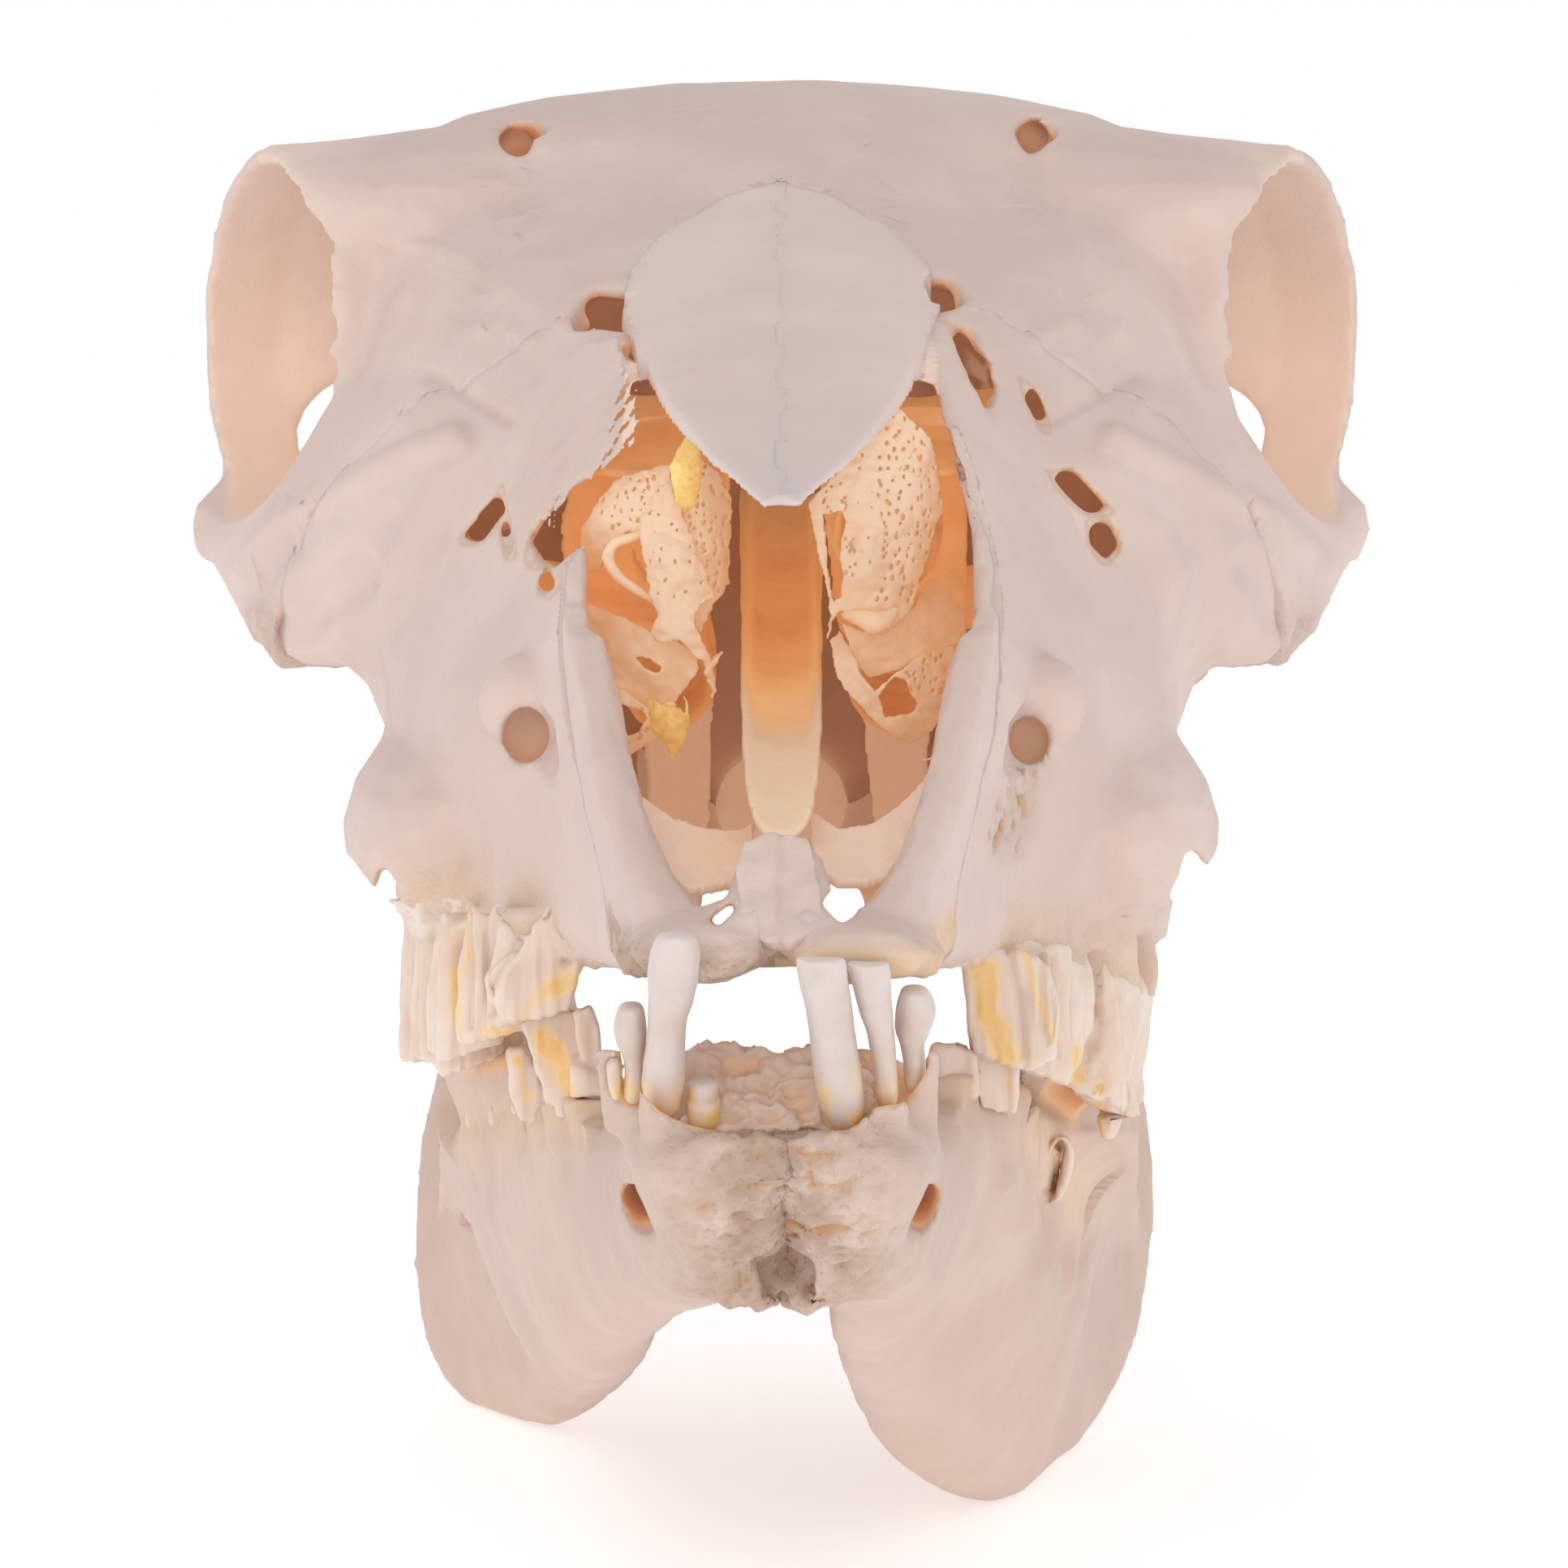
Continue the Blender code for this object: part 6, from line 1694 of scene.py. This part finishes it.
left_upper = join([
    backed("flap", FLAP, (54.5, 3.0), pores=[((800, 640, 870, 740), 16, 1.5)], torn=2.6, seed=71,
           bow=(1.0, -1.5), deep=0.0),
    backed("flap_back", FLAP_BACK, (58.5, 3.0), pores=[((845, 575, 900, 735), 10, 1.9)], seed=72,
           bow=(2, 0), deep=0.22),
    backed("outer_scroll", OUTER_SCROLL, (59.0, 3.0), pores=[((745, 590, 835, 660), 11, 1.9)],
           seed=73, bow=(-3, 1), deep=0.25),
    sheet("inner_funnel", INNER_FUNNEL, (66.0, -2.0), torn=1.0, seed=74, deep=0.75),
    strand("rolled_band", ROLLED_BAND, 0.8),
], "scroll_upper_left")
left_lower = join([
    sheet("lower_leaf", LOWER_LEAF, (57.5, 3.5), LEAF_HOLES, torn=1.4, seed=75, bow=(-3, 0), deep=0.2),
    backed("lower_ring", LOWER_RING, (57.5, 2.0), holes=[RING_HOLE],
           pores=[((795, 850, 850, 900), 10, 1.9), ((742, 888, 790, 925), 11, 1.8)], torn=1.6,
           seed=76, deep=0.1),
    strand("fibre", FIBRE),
], "scroll_lower_left")
yellow = join([
    sheet("yellow_tuft", YELLOW_TUFT, (54.0, 1.5), torn=1.4, seed=77, stain=1.0, thick=0.5, deep=0.0),
    sheet("yellow_tip", YELLOW_TIP, (55.6, 1.5), torn=2.2, seed=78, stain=1.0, thick=0.45, deep=0.0),
], "dried_tissue_left")

# %% [markdown]
# ## The scrolls on the right
# Here the upper scroll is nearly whole: a broad porous sheet with a slot along its inner edge and
# a smooth bulb at its lower end. Below it a smooth band crosses to a jagged sheet with a hole.

# %% Right scrolls
BROAD_SHEET = ((1080, 490), (1108, 505), (1130, 526), (1147, 540), (1156, 587), (1163, 632), (1152, 646),
               (1146, 676), (1141, 694), (1133, 713), (1130, 731), (1120, 756), (1106, 768),
               (1091, 780), (1078, 782), (1066, 772), (1056, 752), (1035, 754), (1026, 766),
               (1020, 790), (1017, 785), (1022, 765), (1022, 743), (1017, 713), (1008, 687),
               (1001, 646), (997, 620), (1012, 602), (1035, 580), (1047, 554), (1064, 518))
SHEET_SLOT = ((1015, 635), (1036, 630), (1042, 643), (1035, 669), (1038, 713), (1035, 735), (1027, 740),
              (1021, 706))
SMOOTH_BAND = ((1036, 766), (1066, 778), (1100, 772), (1126, 746), (1142, 716), (1176, 700), (1192, 706),
               (1190, 792), (1150, 806), (1112, 824), (1070, 836), (1050, 812))
JAGGED_SHEET = ((1022, 790), (1036, 776), (1043, 793), (1050, 800), (1062, 832), (1078, 852), (1100, 830),
                (1121, 817), (1140, 804), (1172, 797), (1180, 806), (1178, 850), (1166, 870),
                (1147, 900), (1124, 917), (1102, 908), (1076, 889), (1057, 869), (1038, 847),
                (1027, 817))
SHEET_HOLE = ((1082, 857), (1102, 834), (1117, 839), (1122, 857), (1132, 868), (1124, 879), (1091, 884))

SHEET_PORES = [((1085, 505, 1165, 745), 10.5, 1.9), ((1016, 600, 1045, 632), 9, 1.7),
               ((1044, 660, 1062, 715), 10, 1.6), ((1050, 560, 1085, 700), 22, 1.3)]
WHITE_BULB = ((1040, 757, 55.4, 0.35), (1062, 762, 54.2, 0.9), (1078, 768, 53.8, 1.15),
              (1092, 762, 54.2, 0.8), (1104, 750, 55.0, 0.3))
CURLY_THREAD = ((1170, 900, 50, 0.1), (1160, 912, 49, 0.1), (1158, 930, 49, 0.1), (1166, 942, 49, 0.1),
                (1174, 930, 49.6, 0.1), (1163, 920, 49, 0.1), (1148, 934, 49, 0.1), (1137, 936, 49, 0.09))

right_upper = join([
    backed("broad_sheet", BROAD_SHEET, (55.0, 4.0), holes=[SHEET_SLOT], pores=SHEET_PORES,
           torn=1.8, seed=81, bow=(2.5, -2.0), deep=0.03),
    strand("white_bulb", WHITE_BULB, 0.9, 0.0),
], "scroll_upper_right")
right_lower = join([
    sheet("smooth_band", SMOOTH_BAND, (59.5, 2.5), torn=1.2, seed=82, bow=(3, -2), deep=0.28),
    backed("jagged_sheet", JAGGED_SHEET, (56.0, 3.0), holes=[SHEET_HOLE],
           pores=[((1117, 806, 1170, 850), 9.5, 2.0)], torn=2.4, seed=83, bow=(2, 0), deep=0.0),
    strand("curly_thread", CURLY_THREAD, deep=0.0),
], "scroll_lower_right")
for piece, node in ((left_upper, "turbinate_upper_left"), (left_lower, "turbinate_lower_left"),
                    (right_upper, "turbinate_upper_right"), (right_lower, "turbinate_lower_right")):
    finished(piece, node, INNER_GLOWING)
finished(yellow, "turbinate_upper_left", TISSUE)

# %% [markdown]
# ## The floor and the far walls of the nose
# Two gutters form the nose's floor beside the vomer. Behind them stand the walls of the throat's
# opening, and in front a flat spine of bone with a groove closes the floor in the middle.

# %% Floor and walls
LEFT_GUTTER = ((756, 936), (776, 966), (793, 987), (828, 1011), (869, 1025), (910, 1028), (930, 1016),
               (926, 1060), (906, 1092), (880, 1096), (850, 1102), (818, 1088), (790, 1050),
               (766, 1000))
RIGHT_GUTTER = ((996, 999), (1034, 1025), (1076, 1018), (1110, 994), (1138, 966), (1160, 922), (1152, 985),
                (1126, 1040), (1092, 1085), (1062, 1092), (1030, 1090), (1008, 1076), (998, 1040))
SPINE = ((914, 1038), (940, 1030), (975, 1030), (1000, 1040), (1006, 1080), (1012, 1120), (1020, 1142),
         (1002, 1156), (982, 1166), (963, 1170), (945, 1166), (915, 1154), (890, 1143), (909, 1122),
         (906, 1080))
CHOANA_BACK = ((850, 850), (1085, 850), (1090, 1050), (845, 1050))
LEFT_WALL = ((790, 690), (874, 690), (876, 860), (872, 1032), (800, 1022))
RIGHT_WALL = ((1058, 760), (1150, 760), (1140, 1010), (1080, 1030), (1066, 900))
UPPER_BACK_LEFT = ((735, 520), (903, 500), (900, 600), (884, 640), (872, 760), (840, 830), (716, 830),
                   (690, 650), (705, 590))
UPPER_BACK_RIGHT = ((1010, 500), (1160, 500), (1190, 560), (1190, 830), (1060, 830), (1030, 760),
                    (1016, 640), (1008, 560))
backs = join([
    sheet("back_left", UPPER_BACK_LEFT, (82, 0), torn=0.5, thick=0.8, step=3, seed=121, bow=(3, 0),
          deep=0.5),
    sheet("back_right", UPPER_BACK_RIGHT, (82, 0), torn=0.5, thick=0.8, step=3, seed=122, bow=(-3, 0),
          deep=0.5),
], "nose_back_walls")
points = read_points(backs)
# Painted shade and painted glow on the back walls.
keep(backs, "lit", 0.5)
keep(backs, "deep", 0.5 + 0.14 * cloud(points, 7, 123) + 0.1 * cloud(points, 2.5, 124))
finished(backs, "cranium", INNER_GLOWING)
gutters = join([
    sheet("gutter_left", LEFT_GUTTER, (31, 0), torn=0.6, thick=0.9, seed=101, bow=(1, -13), deep=0.38),
    sheet("gutter_right", RIGHT_GUTTER, (31, 0), torn=0.6, thick=0.9, seed=102, bow=(-1, -13), deep=0.38),
], "nose_floor")
# The gutters: a painted shade and a strong painted glow.
keep(gutters, "deep", 0.44 + 0.1 * cloud(read_points(gutters), 6, 103))
keep(gutters, "lit", 0.7)
finished(gutters, "premaxilla_left", BONE)
walls = join([
    sheet("choana_back", CHOANA_BACK, (118, 0), torn=0.5, thick=1.0, step=4, seed=104, deep=0.0),
    sheet("wall_left", LEFT_WALL, (90, 0), torn=0.8, thick=0.8, step=3, seed=105, bow=(4, 0), deep=0.1),
    sheet("wall_right", RIGHT_WALL, (90, 0), torn=0.8, thick=0.8, step=3, seed=106, bow=(-4, 0), deep=0.1),
], "throat_walls")
# The throat's walls: a light painted shade and a strong painted glow.
keep(walls, "deep", 0.16)
keep(walls, "lit", 0.85)
finished(walls, "cranium", BONE)
spine = sheet("palate_spine", SPINE, (4.9, 0), torn=0.5, thick=1.6, seed=107, bow=(0, -3.6), deep=0.0)
fine_skin(spine, 0.3, 5)
points, normals = read_points(spine), read_normals(spine)
middle = np.clip(1 - np.abs(points[:, 0]) / 0.6, 0, 1) * (normals[:, 1] < -0.2)
points = raised(points, normals, -0.35 * middle)
write_points(spine, raised(points, normals, 0.15 * cloud(points, 3.0, 108)))
# A light painted shade on the spine.
keep(spine, "deep", 0.2)
finished(spine, "premaxilla_left", BONE)

# %% [markdown]
# ## The spongy bone at the chin
# Behind the chin's thin front rim the roots stand in spongy bone. It is a leaning slab whose skin
# is pitted deeply, so that threads of bone stay between the pits.

# %% Chin sponge
SPONGE = ((845, 1300), (868, 1293), (900, 1298), (935, 1292), (957, 1306), (985, 1292), (1000, 1290),
          (1040, 1296), (1076, 1330), (1074, 1372), (1050, 1404), (950, 1400), (890, 1406), (850, 1400),
          (812, 1376), (828, 1330))
sponge = sheet("chin_sponge", SPONGE, (9.0, 0), torn=3.0, thick=2.2, seed=111, bow=(0, -4.4), deep=0.0)
fine_skin(sponge, 0.26, 1)
points, normals = read_points(sponge), read_normals(sponge)
net = 0.5 - 1.6 * np.abs(cloud(points, 1.6, 112)) - 0.8 * np.abs(cloud(points, 0.8, 113))
write_points(sponge, raised(points, normals, 0.95 * net))
# A painted shade in the pits between the threads, and a faint painted glow.
keep(sponge, "deep", np.clip(0.1 - 0.6 * net, 0, 0.6))
keep(sponge, "lit", 0.3)
finished(sponge, "mandible_left", JAW_BONE_SHADED)

# %% [markdown]
# ## The deeper turns
# Behind the torn fronts each scroll goes on as a rolled leaf. The frame's own solids have that
# form, so copies of them are cut off behind the sheets.

# %% Deeper turns
TURNS_BEHIND = ((0, 40), (64.5, 40), (66, 130), (0, 130))
for level in ("upper", "lower"):
    for side in SIDES:
        bone(f"turbinate_{level}_{side}", 0.34, cutters=[side_prism(TURNS_BEHIND)], finish=INNER_GLOWING)

# %% [markdown]
# ## Floor and light
# A plain pale floor and a pale surround, one wide soft lamp in front and above, and a weaker one
# low in front, which lets the inside of the nose be seen.

# %% Floor and lamps
FLOOR_DROP = 0.0003
bpy.ops.object.select_all(action="DESELECT")
bpy.ops.mesh.primitive_plane_add(size=6)
floor = bpy.context.object
floor.name = "floor"
floor.data.transform(Matrix.Translation((0, 0, -FLOOR_DROP)))
FLOOR = Finish("floor", 0.9, Specular_IOR_Level=0.1, Emission_Strength=0.42)
FLOOR.shader.inputs["Emission Color"].default_value = (1, 1, 1, 1)
floor.data.materials.append(FLOOR.wear((0.88, 0.88, 0.88, 1)))

bpy.context.scene.view_settings.view_transform = "Standard"
world = bpy.data.worlds.new("studio")
bpy.context.scene.world = world
world.use_nodes = True
sky = world.node_tree.nodes
way = sky.new("ShaderNodeTexCoord")
split = sky.new("ShaderNodeSeparateXYZ")
fade = sky.new("ShaderNodeMapRange")
world.node_tree.links.new(way.outputs["Generated"], split.inputs[0])
world.node_tree.links.new(split.outputs["Z"], fade.inputs["Value"])
for socket, value in (("From Min", 0.25), ("From Max", 0.95), ("To Min", 1.0), ("To Max", 0.55)):
    fade.inputs[socket].default_value = value
world.node_tree.links.new(fade.outputs[0], world.node_tree.nodes["Background"].inputs["Color"])
world.node_tree.nodes["Background"].inputs["Strength"].default_value = 1.0


def lamp(name, place, aim, size, watts):
    data = bpy.data.lights.new(name, "AREA")
    data.shape = "DISK"
    data.size = size
    data.energy = watts
    obj = linked(bpy.data.objects.new(name, data))
    obj.location = place
    obj.rotation_euler = (Vector(aim) - Vector(place)).to_track_quat("-Z", "Y").to_euler()


lamp("key", (-0.35, -0.9, 0.75), (0, 0, 0.08), 0.6, 1.2)
lamp("front", (0.05, -1.1, 0.2), (0, 0, 0.09), 0.3, 1.0)
print("lamps:", ", ".join(light.name for light in bpy.data.lights))
